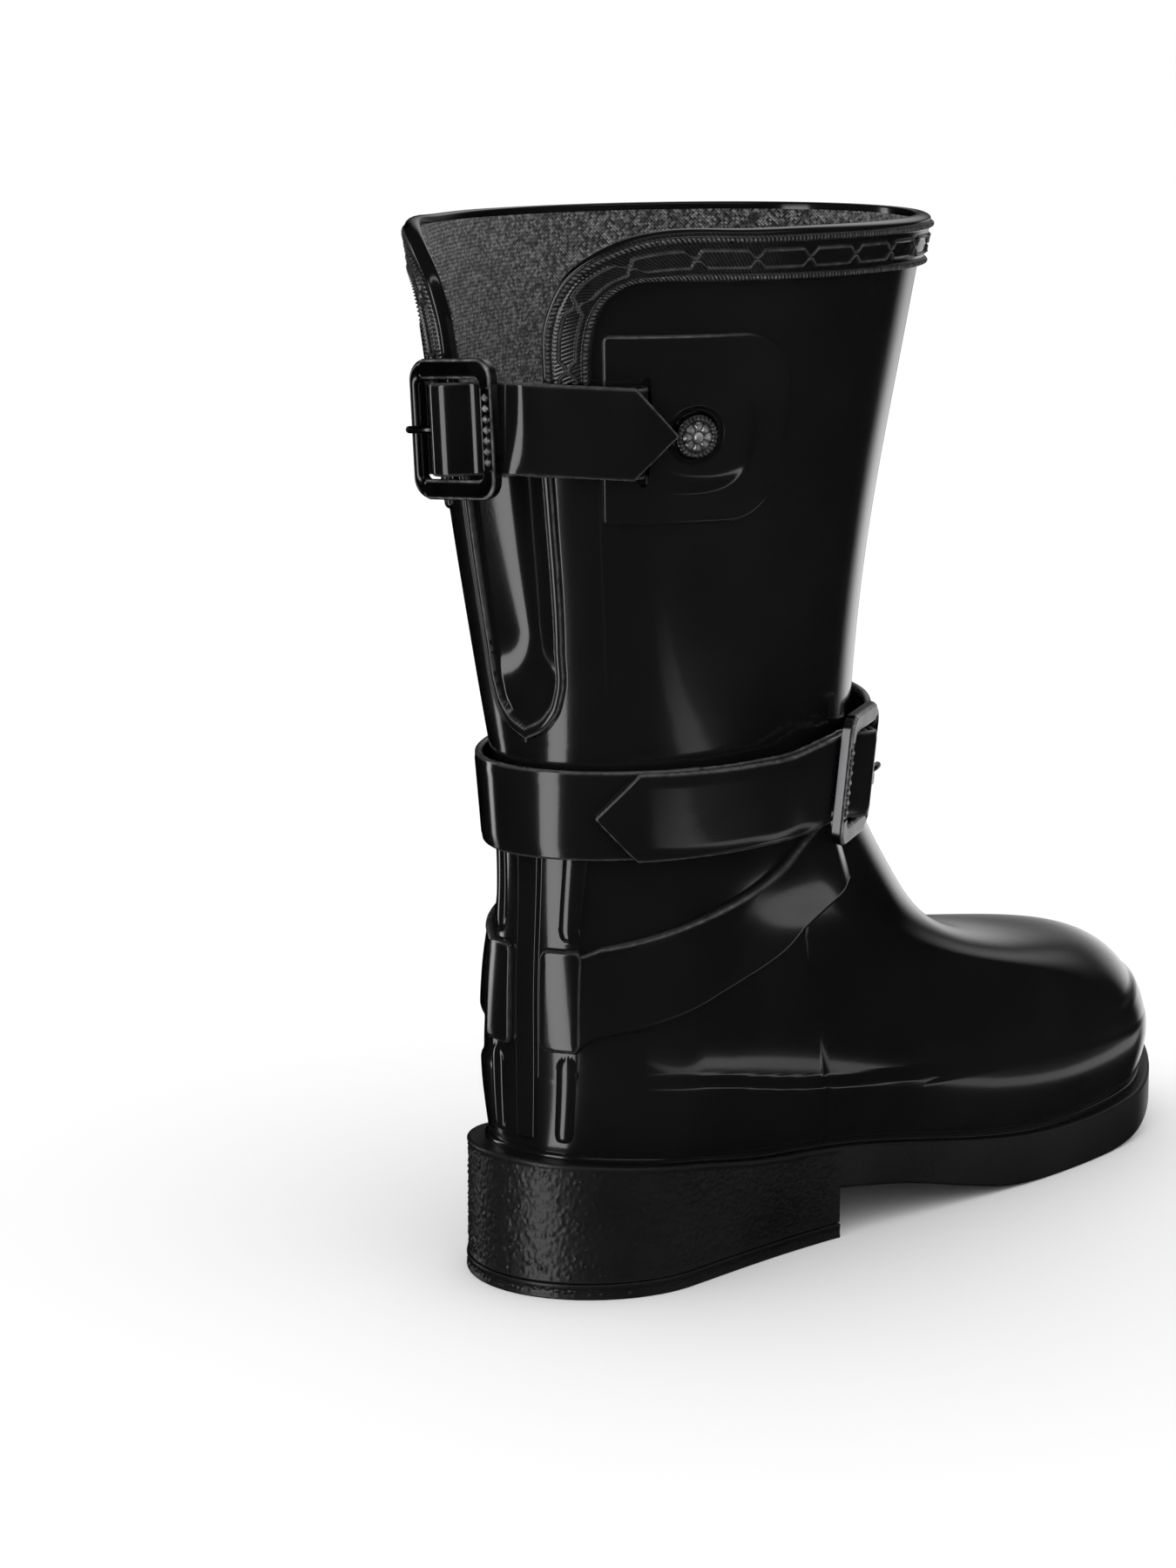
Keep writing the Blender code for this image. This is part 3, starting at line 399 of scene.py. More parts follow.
def spread_grid(across, low, high, rows):
    """Angles and heights of a grid between two height curves; rows are shares from low to high."""
    across = np.asarray(across, float)
    rows = np.asarray(rows, float)[:, None]
    zs = low(np.abs(across))[None] * (1 - rows) + high(np.abs(across))[None] * rows
    return np.broadcast_to(across, zs.shape), zs


def fine_ends(count, share=0.12):
    """Shares from 0 to 1, close together near both ends."""
    t = np.linspace(0, 1, count)
    return (1 - share) * (1 - np.cos(math.pi * t)) / 2 + share * t


# ---------------------------------------------------------------- materials

class Nodes:
    """Shorthand for building a node tree."""

    def __init__(self, tree):
        self.tree = tree

    def node(self, kind, inputs=(), **settings):
        node = self.tree.nodes.new(kind)
        for key, value in settings.items():
            setattr(node, key, value)
        for key, value in dict(inputs).items():
            self.put(node, key, value)
        return node

    def put(self, node, key, value):
        if isinstance(value, bpy.types.NodeSocket):
            self.tree.links.new(value, node.inputs[key])
        else:
            node.inputs[key].default_value = value

    def place(self):
        return self.node("ShaderNodeTexCoord").outputs["Object"]

    def noise(self, scale, detail=3.0, vector=None):
        inputs = {"Vector": vector or self.place(), "Scale": scale, "Detail": detail}
        return self.node("ShaderNodeTexNoise", inputs).outputs["Fac"]

    def between(self, value, low, high, start=0.3, end=0.7):
        """value from start to end becomes low to high."""
        inputs = {"Value": value, "From Min": start, "From Max": end, "To Min": low, "To Max": high}
        return self.node("ShaderNodeMapRange", inputs).outputs["Result"]

    def mix(self, share, first, second):
        node = self.node("ShaderNodeMix", data_type="RGBA")
        for key, value in ((0, share), (6, first), (7, second)):
            self.put(node, key, value)
        return node.outputs[2]

    def maths(self, operation, first, second=0.0):
        return self.node("ShaderNodeMath", {0: first, 1: second}, operation=operation).outputs[0]

    def bump(self, height, distance, strength=1.0, over=None):
        inputs = {"Height": height, "Distance": distance, "Strength": strength}
        if over is not None:
            inputs["Normal"] = over
        return self.node("ShaderNodeBump", inputs).outputs["Normal"]

    def edges(self):
        """1 on convex edges."""
        return self.between(self.node("ShaderNodeNewGeometry").outputs["Pointiness"], 0.0, 1.0, 0.52, 0.6)


class Shader(Nodes):
    """A node material round one Principled shader."""

    def __init__(self, name):
        self.material = bpy.data.materials.new(name)
        self.material.use_nodes = True
        super().__init__(self.material.node_tree)
        self.surface = self.tree.nodes["Principled BSDF"]

    def set(self, **values):
        for key, value in values.items():
            self.put(self.surface, key.replace("_", " "), value)


def grey(value, tint=1.04):
    return (value, value, value * tint, 1.0)


def worn_and_highlit_edges(shader, colour, worn_and_highlit_colour):
    """The colour of the edges, lightened as a painted highlight where they have also lost their gloss, and
    the share of that wear and painted highlight.
    """
    rubbed_and_highlit = shader.node("ShaderNodeAttribute", attribute_name="wear").outputs["Fac"]
    rubbed_and_highlit = shader.maths("MULTIPLY", rubbed_and_highlit, shader.between(shader.noise(420.0), 0.45, 1.0))
    return shader.mix(rubbed_and_highlit, colour, worn_and_highlit_colour), rubbed_and_highlit


def gloss_rubber():
    shader = Shader("gloss_rubber")
    smears = shader.noise(16.0, 4.0)
    colour = shader.mix(shader.between(smears, 0.0, 1.0), grey(0.0035), grey(0.007))
    # The wear mask lightens the edges to grey as a painted highlight, and roughens them as real wear.
    worn_and_highlit, rubbed_and_highlit = worn_and_highlit_edges(shader, colour, grey(0.12))
    ripple = shader.bump(shader.noise(38.0, 2.0), 0.0006, 0.12)
    grain = shader.bump(shader.noise(1400.0, 2.0), 0.00004, 0.25, over=ripple)
    roughness = shader.maths("ADD", shader.between(smears, 0.10, 0.19), shader.maths("MULTIPLY", rubbed_and_highlit, 0.3))
    shader.set(Base_Color=worn_and_highlit, Roughness=roughness, Normal=grain, Coat_Weight=0.6, Coat_Roughness=0.035,
               Coat_Normal=ripple)
    shader.surface.inputs["Specular IOR Level"].default_value = 0.5
    return shader.material


def sole_rubber():
    shader = Shader("sole_rubber")
    dust = shader.noise(24.0, 5.0)
    colour = shader.mix(shader.between(dust, 0.0, 1.0), grey(0.005), grey(0.011))
    # Convex edges are painted lighter grey: a painted highlight, partly scuffing.
    worn_and_highlit = shader.mix(shader.maths("MULTIPLY", shader.edges(), 0.3), colour, grey(0.05))
    grain = shader.bump(shader.noise(1100.0, 3.0), 0.00012, 0.5)
    shader.set(Base_Color=worn_and_highlit, Roughness=shader.between(dust, 0.26, 0.4), Normal=grain)
    return shader.material


def woven(name, pitch, dark, light, depth):
    """Plain-woven cloth: threads pitch millimetres apart that pass over and under each other."""
    shader = Shader(name)
    uv = shader.node("ShaderNodeUVMap", uv_map="surface_mm").outputs["UV"]
    turned = shader.node("ShaderNodeMapping", {"Vector": uv, "Rotation": (0, 0, math.radians(38)),
                                               "Scale": (1 / pitch, 1 / pitch, 1)}).outputs["Vector"]
    wobble = shader.noise(0.35, 2.0, turned)
    parts = shader.node("ShaderNodeSeparateXYZ", {"Vector": turned})
    threads = []
    for axis in ("X", "Y"):
        across = shader.maths("ADD", parts.outputs[axis], shader.maths("MULTIPLY", wobble, 0.8))
        wave = shader.maths("SINE", shader.maths("MULTIPLY", across, math.pi))
        threads.append(shader.maths("ABSOLUTE", wave))
    over = shader.node("ShaderNodeTexChecker", {"Vector": turned, "Scale": 1.0}).outputs["Fac"]
    crossing = shader.maths("ADD", shader.maths("MULTIPLY", over, threads[0]),
                            shader.maths("MULTIPLY", shader.maths("SUBTRACT", 1.0, over), threads[1]))
    cell = shader.node("ShaderNodeVectorMath", {0: turned}, operation="FLOOR").outputs[0]
    fleck = shader.node("ShaderNodeTexWhiteNoise", {"Vector": cell}, noise_dimensions="2D").outputs["Value"]
    shade = shader.maths("MULTIPLY", crossing, shader.maths("POWER", fleck, 1.8))
    fuzz = shader.noise(900.0, 2.0)
    height = shader.maths("ADD", crossing, shader.maths("MULTIPLY", fuzz, 0.35))
    shader.set(Base_Color=shader.mix(shade, dark, light), Roughness=0.85,
               Normal=shader.bump(height, depth, 0.9), Sheen_Weight=0.25, Sheen_Roughness=0.5)
    shader.surface.inputs["Specular IOR Level"].default_value = 0.25
    return shader.material


def black_nickel():
    shader = Shader("black_nickel")
    cloud = shader.noise(60.0, 4.0)
    colour = shader.mix(shader.between(cloud, 0.0, 1.0), grey(0.07), grey(0.11))
    # The wear mask paints the edges, lozenges and raised rosette light grey as a highlight, and makes them
    # less metallic as real wear.
    worn_and_highlit, rubbed_and_highlit = worn_and_highlit_edges(shader, colour, grey(0.55, 1.0))
    metallic = shader.maths("SUBTRACT", 1.0, shader.maths("MULTIPLY", rubbed_and_highlit, 0.5))
    shader.set(Base_Color=worn_and_highlit, Metallic=metallic, Roughness=shader.between(cloud, 0.18, 0.32),
               Normal=shader.bump(shader.noise(700.0), 0.00003, 0.3), Coat_Weight=0.3, Coat_Roughness=0.05)
    return shader.material


def pressed_board():
    shader = Shader("pressed_board")
    fibres = shader.noise(420.0, 6.0)
    colour = shader.mix(shader.between(fibres, 0.0, 1.0), (0.22, 0.16, 0.10, 1), (0.42, 0.33, 0.22, 1))
    shader.set(Base_Color=colour, Roughness=0.85, Normal=shader.bump(fibres, 0.0003, 0.6))
    return shader.material


def strip_steel():
    shader = Shader("strip_steel")
    stretched = shader.node("ShaderNodeMapping", {"Vector": shader.place(), "Scale": (0.03, 1, 1)})
    brushed = shader.noise(1500.0, 3.0, stretched.outputs["Vector"])
    shader.set(Base_Color=shader.mix(brushed, grey(0.42, 1.02), grey(0.58, 1.02)), Metallic=1.0,
               Roughness=shader.between(brushed, 0.25, 0.4), Normal=shader.bump(brushed, 0.00004, 0.4))
    return shader.material


# ---------------------------------------------------------------- upper

def seam_phi(level):
    """The angle at which this level's ring crosses the side seam."""
    phis = np.linspace(60, 130, 71)
    return float(np.interp(seam_x(level), ring(level, phis)[:, 0], phis))


def slot_phi(level):
    """Half the opening at the back, at this level of the leg."""
    phi = 17.0
    for _ in range(5):
        phi = float(slot_edge(ring(level, phi)[2]))
    return phi


def wall(name, levels, phis, relief, inside, material, wrap=False):
    """A wall that follows the upper: one row of angles per level, and its outside and inside as offsets."""
    front = skin(levels[:, None], phis, relief)[0]
    back = skin(levels[:, None], phis, inside)[0]
    slab(name, front, back, material, wrap)


def softened(distance, radius):
    """How far a wall's face drops near its edge, so that the edge is round."""
    return -radius * (1 - rounded_end(distance / radius))


def foot_relief(levels, phis, seam_distance):
    """Shallow lines moulded into the foot: the top of the mudguard and the groove of the side seam."""
    points = ring(levels[:, None], phis)
    guard = 0.9 * smooth_step(mudguard_top(points[..., 0]) - points[..., 2], -1.0, 1.2)
    return guard + softened(seam_distance, 0.45)


def foot_pieces(gloss, textile):
    levels = FOOT_START_LEVEL + (SPLIT_LEVEL - FOOT_START_LEVEL) * np.linspace(0, 1, 110)
    seams = np.array([seam_phi(level) for level in levels])
    shares = fine_ends(150, 0.5)
    counter = -seams[:, None] + 2 * seams[:, None] * shares
    counter_edge = (seams[:, None] - np.abs(counter)) * 1.2
    wall("heel_counter", levels, counter, foot_relief(levels, counter, counter_edge), -RUBBER, gloss)
    shares = fine_ends(230, 0.6)
    vamp = seams[:, None] + (360 - 2 * seams[:, None]) * shares
    vamp_edge = (180 - np.abs(180 - vamp) - seams[:, None]) * 1.2
    wall("vamp", levels, vamp, foot_relief(levels, vamp, vamp_edge), -RUBBER, gloss)

    levels = np.linspace(0.5, SPLIT_LEVEL, 50)
    around = np.broadcast_to(np.linspace(0, 360, 181)[:-1], (len(levels), 180))
    wall("foot_lining", levels, around, -RUBBER - 0.6, -RUBBER - 0.6 - LINING, textile, wrap=True)


def open_back(starts, side_count, front_count):
    """Rows of angles from the slot round the front and back to the slot, closer together near the slot."""
    rows = []
    front = np.linspace(SLOT_SHARED_PHI, 360 - SLOT_SHARED_PHI, front_count)
    bunched = np.linspace(0, 1, side_count)
    bunched = 0.25 * bunched + 0.75 * bunched**1.6
    for start in starts:
        side = start + (SLOT_SHARED_PHI - start) * bunched
        rows.append(np.concatenate((side, front[1:-1], 360 - side[::-1])))
    return np.array(rows)


def leg_pieces(gloss, textile):
    levels = spaced(SPLIT_LEVEL, (7.8, 8), (8.25, 14), (11.2, 56), (RIM_LEVEL, 22))
    starts = np.array([slot_phi(level) for level in levels])
    phis = open_back(starts, 84, 150)
    folded = np.minimum(phis, 360 - phis)
    zs = ring(levels[:, None], phis)[..., 2]
    quarter_line = 0.16 * ridge(folded, QUARTER_LINE_PHI, 0.9)
    quarter_line = quarter_line * smooth_step(zs, 146, 158) * smooth_step(zs, 246, 240)
    relief = softened((folded - starts[:, None]) * 1.05, 0.8) + quarter_line
    wall("leg_upper", levels, phis, relief, -RUBBER, gloss)

    levels = spaced(SPLIT_LEVEL, (11.2, 60), (11.96, 24))
    starts = np.array([slot_phi(level) for level in levels]) + 0.4
    phis = open_back(starts, 26, 120)
    wall("leg_lining", levels, phis, -RUBBER - 0.05, -RUBBER - 0.05 - LINING, textile)


def collar_path():
    """The rim and the lower edge of the collar band, as phi (0 to 360) and height, every BAND_STEP."""
    front = [((phi, RIM_Z), (phi, 255.6)) for phi in np.linspace(75, 285, 15)]
    back = [((360 - a[0], a[1]), (360 - b[0], b[1])) for a, b in zip(COLLAR_EDGE, COLLAR_INSIDE)][::-1]
    stations = list(zip(COLLAR_EDGE, COLLAR_INSIDE)) + front + back
    table = np.array(stations, float).reshape(len(stations), 4)
    middle = skin_z((table[:, 1] + table[:, 3]) / 2, (table[:, 0] + table[:, 2]) / 2)[0]
    along = lengths_along(middle, 0)
    smooth = Curve(along, table, even=True)
    places = np.linspace(0, along[-1], int(along[-1] / BAND_STEP))
    return places - along[-1] / 2, smooth(places)


def chain_relief(along, across, corner):
    """Elongated links: a thin line round each, pinched where two meet, with fine hatching at the corner."""
    period, half_long, half_high, taper = 16.0, 8.0, 2.1, 2.6
    place = np.abs((along + period / 2) % period - period / 2)
    reach = half_high * (0.16 + 0.84 * smooth_step(half_long - place, 0.2, taper))
    line = np.exp(-((np.abs(across) - reach) / 0.3)**2)
    inside = smooth_step(reach - np.abs(across), 0.2, 0.7)
    hatch = (0.5 + 0.5 * np.cos(math.tau * (along + across * 0.4))) * corner
    relief = 0.8 * line + 0.2 * inside + 0.26 * hatch * smooth_step(3.9 - np.abs(across), 0, 0.6)
    # The second value marks the chain's lines and hatching for wear and painted highlight.
    return relief, line + 0.3 * hatch


def collar(gloss):
    """The band along the topline and down the opening's sides: rim, knurled piping and a chain in relief."""
    along, table = collar_path()

    def stretch(distance, out):
        """Points of the band this far in from its edge and this high over the rubber."""
        share = (distance / BAND_SHARE_WIDTH)[None, :, None]
        places = table[:, None, :2] * (1 - share) + table[:, None, 2:] * share
        return skin_z(places[..., 1], places[..., 0], out)[0]

    w = spaced(0.0, (3.0, 13), (9.2, 35), (BAND_WIDTH, 13))
    corner = smooth_step(np.abs(along), along[-1] - 82, along[-1] - 60)
    knurl = 0.6 + 0.4 * np.cos(math.tau * along / 1.1)[:, None]
    height = np.full((len(along), len(w)), 1.25)
    # The beads' knurl tops and the chain's lines get the wear mask: worn, and lightened as a painted
    # highlight.
    wear = np.zeros(height.shape)
    for centre in (1.4, 10.6):
        bead = np.sqrt(np.clip(1 - ((w - centre) / 0.85)**2, 0, 1))
        height += (0.35 + 0.75 * knurl) * bead
        wear += 0.9 * bead**4 * smooth_step(knurl, 0.5, 1.0)
    relief, relief_wear = chain_relief(along[:, None], w[None] - 6.2, corner[:, None])
    height += relief
    wear += 0.55 * relief_wear
    height *= smooth_step(w, BAND_WIDTH + 0.3, BAND_WIDTH - 0.9)
    height -= 0.35 * smooth_step(w, BAND_WIDTH - 0.9, BAND_WIDTH)
    lip_turn = np.radians((20, 45, 70, 90, 110, 135, 160, 180))
    lip = stretch(-0.9 * np.sin(lip_turn), -0.75 + 1.95 * np.cos(lip_turn))
    under = stretch(np.array((1.6, 1.6, 6.0, BAND_WIDTH)), (-2.7, -1.2, -0.8, -0.8))
    sections = np.concatenate((stretch(w, height)[:, ::-1], lip, under), axis=1)
    plain = np.zeros((len(along), lip.shape[1] + under.shape[1]))
    tube("collar_band", sections, gloss, sharp=70,
         wear=np.concatenate((np.minimum(wear, 1)[:, ::-1], plain), axis=1))


def gusset(gloss):
    """The hollowed panel in the open back: a rolled lip along its U-shaped edge, then a concave fold."""
    bottom, top = 140.6, 216.0
    zs = bottom + (top - bottom) * np.linspace(0, 1, 130)**1.15
    shares = 1.1 * (2 * fine_ends(111, 0.45) - 1)
    half = np.maximum(slot_edge(zs), 1.2)
    phis = half[:, None] * shares
    heights = np.broadcast_to(zs[:, None], phis.shape)
    outline_z = spaced(141.0, (147, 60), (225, 120))
    outline = np.stack((slot_edge(outline_z), outline_z), -1)
    places = np.stack((np.abs(phis), heights), -1)
    depth = np.sqrt(((places[:, :, None] - outline)**2).sum(-1)).min(-1)
    depth = np.where(np.abs(phis) > half[:, None], -depth, depth)
    lip = 0.9 * np.sqrt(np.clip(1 - ((depth - 1.9) / 1.75)**2, 0, 1)) - 0.6
    hollow = np.clip(1 - (phis / np.maximum(half - 3.2, 2.0)[:, None])**2, 0, 1)
    hollow = hollow * smooth_step(heights, 143, 168)
    fall = -1.0 - 6.2 * hollow - 0.5 * smooth_step(depth, 3.3, 4.2)
    height = np.where(depth > 3.4, fall, np.maximum(lip, -0.62 - 0.3 * smooth_step(depth, 3.3, 3.5)))
    front = skin_z(heights, phis, height)[0]
    back = skin_z(heights, phis, np.minimum(height, -0.9) - 1.5)[0]
    # The lip's two edges get the wear mask: worn, and lightened as a painted highlight.
    slab("gusset", front, back, gloss, sharp=60,
         wear=0.7 * ridge(depth, 0.7, 0.45) + 0.8 * ridge(depth, 3.0, 0.45))


# ---------------------------------------------------------------- moulded details on the upper

def rib(phis, zs, low, high):
    """Height share of one of the back stay's half-round ribs with round ends, from low to high."""
    centre, half, mm_per_degree = 20.8, 3.9, 0.8
    across = (np.abs(phis) - centre) * mm_per_degree
    beyond = np.maximum(low + half - zs, 0) + np.maximum(zs - high + half, 0)
    return np.sqrt(np.clip(1 - (across**2 + beyond**2) / half**2, 0, 1))


def back_stay(gloss):
    half_angle, low, high = 27.0, 37.6, 131.5
    phis, zs = np.meshgrid(np.linspace(-half_angle, half_angle, 190), np.linspace(low, high, 170))
    across = np.abs(phis)
    spine = 0.85 * smooth_step(across, 6.4, 5.0)
    plateau = 0.95 * smooth_step(across, half_angle, half_angle - 1.6)
    ribs = rib(phis, zs, 90.5, 150) + rib(phis, zs, 38.0, 61.0)
    height = (plateau + spine + ribs) * smooth_step(zs, low, low + 1.9) * smooth_step(zs, high, high - 3.0)
    pad("back_stay", phis, zs, height - 0.15, gloss)


def keeper(word, side, gloss):
    """The loop moulded beside the back stay that holds the harness band: a pillow with round corners."""
    mm_per_degree = 0.78
    low, high, near, far = 62.0, 89.0, 7.5, 28.0
    across, zs = np.meshgrid(np.linspace(near - 0.6, far + 0.6, 60), np.linspace(low - 0.6, high + 0.6, 70))
    x = (across - (near + far) / 2) * mm_per_degree
    y = zs - (low + high) / 2
    half_x, half_y, corner = (far - near) / 2 * mm_per_degree, (high - low) / 2, 3.2
    dx, dy = np.maximum(np.abs(x) - half_x + corner, 0), np.maximum(np.abs(y) - half_y + corner, 0)
    outside = np.hypot(dx, dy) - corner
    height = -0.3 + 2.6 * rounded_end(-outside / 1.5) + 0.5 * rounded_end(-outside / 5.0)
    # The pillow's rim gets the wear mask: worn, and lightened as a painted highlight.
    pad(f"heel_keeper_{word}", side * across, zs, height, gloss, wear=0.35 * ridge(outside, -0.9, 0.5))


def harness_band(word, side, gloss):
    """The moulded band from the heel keeper up to the ankle buckle, with a bevelled upper edge."""
    low, high = through(HARNESS_BOTTOM, even=True), through(HARNESS_TOP, even=True)
    across = np.linspace(25.5, 113, 220)
    phis, zs = spread_grid(across, low, high, spaced(-0.03, (0.1, 9), (0.86, 16), (1.03, 15)))
    from_low, from_high = zs - low(phis), high(phis) - zs
    ends = smooth_step(phis, 113, 104)
    bevel = 0.45 * smooth_step(from_high, 1.9, 1.5)
    height = 1.75 * rounded_end((from_low + 0.1) / 0.8) * smooth_step(from_high, -0.15, 1.0)
    height = height + bevel * smooth_step(from_high, -0.1, 0.4)
    crown = 0.35 * np.sin(np.clip(from_low / (from_low + from_high), 0, 1) * math.pi)
    # The bevelled upper edge gets the wear mask: worn, and lightened as a painted highlight.
    pad(f"harness_band_{word}", side * phis, zs, (height + crown) * ends - 0.3, gloss,
        wear=0.6 * ridge(from_high, 0.8, 0.6) * ends)


def foxing(gloss):
    """The shallow guard round the forefoot just above the sole, with a soft upper edge."""
    across = np.linspace(78, 282, 240)
    top = through(FOXING_TOP, even=True)
    folded = np.minimum(across, 360 - across)
    signed = np.where(across <= 180, across, across - 360)
    foot = ring(0.0, signed)[:, 2] + 1.0
    rows = np.linspace(0, 1.1, 34)[:, None]
    zs = foot + (top(folded) - foot) * rows
    phis = np.broadcast_to(across, zs.shape)
    from_top = top(folded) - zs
    height = 1.3 * smooth_step(from_top, -1.5, 4.5) * smooth_step(folded, 78, 92)
    pad("foxing_band", phis, zs, height * smooth_step(rows, -0.02, 0.1) - 0.15, gloss)


def welt_bead(gloss):
    phis = np.linspace(-180, 180, 421)[:-1]
    foot, normal = skin(0.02, phis)
    away = unit(normal * (1, 1, 0))
    centre = foot + away * BEAD_RADIUS * 0.9
    centre[:, 2] = sole_top(centre[:, 0]) + BEAD_RADIUS * 0.45
    turn = np.linspace(0, math.tau, 14, endpoint=False)
    up = np.array((0, 0, 1.0))
    sections = centre[:, None] + BEAD_RADIUS * (away[:, None] * np.cos(turn)[None, :, None]
                                                 + up * np.sin(turn)[None, :, None])
    tube("welt_bead", sections, gloss, ring_closed=True)


def patch(word, side, gloss):
    """The moulded pad at the top strap's end, with a soft pocket under the stud and the strap's slot."""
    left, right = arc(STUD_Z, 31.0), arc(STUD_Z, 76.5)
    low, high = 196.5, 243.0
    stud = arc(STUD_Z, STUD_PHI)
    x_mm, zs = np.meshgrid(np.linspace(left - 0.6, right + 0.6, 190), np.linspace(low - 0.6, high + 0.6, 170))
    angles = np.linspace(20, 90, 141)
    phis = np.interp(x_mm, arc(STUD_Z, angles), angles)
    corner = np.where(x_mm > (left + right) / 2, 15.0, 1.6)
    half_x, half_z = (right - left) / 2, (high - low) / 2
    dx = np.abs(x_mm - (left + right) / 2) - half_x + corner
    dz = np.abs(zs - (low + high) / 2) - half_z + corner
    outside = np.hypot(np.maximum(dx, 0), np.maximum(dz, 0)) + np.minimum(np.maximum(dx, dz), 0) - corner
    flat = 1.35 * rounded_end(-outside / 0.9)

    slot_x = arc(STUD_Z, 41.2)
    px, pz = (x_mm - (slot_x + 13.0)) / 17.0, (zs - STUD_Z + 0.5) / 14.5
    pocket = 2.4 * smooth_step(1 - (np.abs(px)**2.6 + np.abs(pz)**2.6), 0.0, 0.75)
    pocket *= smooth_step(x_mm, slot_x - 0.2, slot_x + 1.0)
    seat = smooth_step(np.hypot(x_mm - stud, zs - STUD_Z), 7.4, 6.4)
    raised = (flat + pocket) * (1 - seat) + 2.7 * seat
    slot_d = np.hypot(x_mm - slot_x, np.maximum(np.abs(zs - TOP_STRAP_Z) - 12.2, 0))
    groove = smooth_step(slot_d, 1.15, 0.75)
    height = raised * (1 - groove) - 0.3 - 0.25 * groove
    # Only the outline's upper and left edges get the wear mask: a painted highlight on the side that faces
    # the light.
    highlit_upper_left = smooth_step(x_mm, right - 6, left + 14) * smooth_step(zs, low + 8, low + 20)
    wear = 0.75 * ridge(outside, -0.45, 0.4) * highlit_upper_left
    pad(f"strap_patch_{word}", side * phis, zs, height, gloss, sharp=60, wear=wear)


def stud_frame(side, lift):
    foot, normal = skin_z(STUD_Z, side * STUD_PHI, lift)
    across = unit(np.cross(normal, (0.0, 0.0, 1.0)))
    return foot, normal, across, np.cross(across, normal)


def polar_solid(name, placed, radii, rises, material):
    """A button: rings of points with a height each, on a flat foot."""
    foot, normal, across, up = placed
    turn = np.linspace(0, math.tau, 120, endpoint=False)
    rings = []
    for radius, rise in zip(radii, rises):
        height = rise(turn) if callable(rise) else np.full(turn.shape, rise)
        rings.append(foot + radius * (across * np.cos(turn)[:, None] + up * np.sin(turn)[:, None])
                     + normal * height[:, None])
    # Parts raised more than 1.7 mm get the wear mask: worn, and lightened as a painted highlight.
    wear = [np.clip((ring[:, None] - foot) @ normal - 1.7, 0, 1).ravel() for ring in rings]
    tube(name, np.array(rings), material, wear=np.array(wear))


def stud(word, side, metal):
    """A rosette on a washer: a corded ring, eight petals and a round middle."""
    centre_radius, pattern_radius = 0.02, 4.5
    washer_radii = [WASHER_RADIUS - inset for inset in (0.4, 0.0, 0.0, 0.3, 0.9, 1.3)]
    polar_solid(f"stud_washer_{word}", stud_frame(side, 1.9), (centre_radius, *washer_radii, centre_radius),
                (0.0, 0.0, 0.3, 0.75, 1.05, 1.1, 0.9, 0.9), metal)
    radii = np.concatenate(((centre_radius, STUD_RADIUS), np.linspace(STUD_RADIUS, centre_radius, 40)))

    def rise(place):
        radius = place * pattern_radius / STUD_RADIUS

        def height(turn):
            cord = 0.55 * math.sqrt(max(1 - ((radius - 3.85) / 0.62)**2, 0))
            cord = cord * (0.72 + 0.28 * np.cos(28 * turn))
            along_petal = min(max((radius - 1.1) / 2.1, 0), 1)
            petal = 0.75 * np.abs(np.cos(4 * turn))**0.7 * math.sin(math.pi * along_petal)
            middle = 1.25 * math.sqrt(max(1 - (radius / 1.15)**2, 0))
            return 1.5 + 0.5 * (1 - (radius / 4.6)**2) + cord + petal + middle
        return height

    rises = [0.0, 0.2] + [rise(radius) for radius in radii[2:]]
    polar_solid(f"stud_{word}", stud_frame(side, 2.5), radii, rises, metal)


# ---------------------------------------------------------------- straps and buckles

def turned(first, second, degrees):
    """Two square directions turned in their own plane, first towards second."""
    cosine, sine = math.cos(math.radians(degrees)), math.sin(math.radians(degrees))
    return first * cosine + second * sine, second * cosine - first * sine


class Seat:
    """Where a buckle lies: u runs along the strap towards its free end, v across it and n away from the boot.

    The strap's pull turns the buckle about the upright, tilts it to face up and leans it in its own plane.
    """

    def __init__(self, phi, z, lift, towards, turn, tilt=0.0, lean=0.0):
        self.origin, normal = skin_z(z, phi, lift)
        cosine, sine = math.cos(math.radians(turn)), math.sin(math.radians(turn))
        x, y, z = normal
        n = np.array((cosine * x - sine * y, sine * x + cosine * y, z))
        u = unit(np.cross((0.0, 0.0, 1.0), n))
        u = u if np.dot(u, towards) > 0 else -u
        v = np.cross(n, u)
        v = v if v[2] > 0 else -v
        self.n, v = turned(n, v, tilt)
        self.u, self.v = turned(u, v, lean)

    def at(self, u, v, n):
        u, v, n = np.broadcast_arrays(*(np.asarray(a, float)[..., None] for a in (u, v, n)))
        return self.origin + self.u * u + self.v * v + self.n * n

    def strap_places(self, stations):
        """Strap places over or under the buckle from stations of u and n."""
        return [(self.at(u, 0, n), self.v) for u, n in stations]


def rounded_rectangle(half_u, half_v, corner):
    """Points round a rectangle from its first corner on, the same number for every size."""
    side_step, corner_steps = 0.35, 12
    u_count = int(2 * (BUCKLE_HALF_U - BUCKLE_CORNER) / side_step)
    v_count = int(2 * (BUCKLE_HALF_V - BUCKLE_CORNER) / side_step)
    points = []
    for start, (cu, cv), along, count in (
            (0, (half_u - corner, half_v - corner), (-1, 0), u_count),
            (90, (-half_u + corner, half_v - corner), (0, -1), v_count),
            (180, (-half_u + corner, -half_v + corner), (1, 0), u_count),
            (270, (half_u - corner, -half_v + corner), (0, 1), v_count)):
        for k in range(corner_steps + 1):
            turn = math.radians(start + 90 * k / corner_steps)
            points.append((cu + corner * math.cos(turn), cv + corner * math.sin(turn)))
        length = 2 * ((half_u if along[0] else half_v) - corner)
        last = points[-1]
        for k in range(1, count):
            points.append((last[0] + along[0] * length * k / count, last[1] + along[1] * length * k / count))
    return np.array(points)


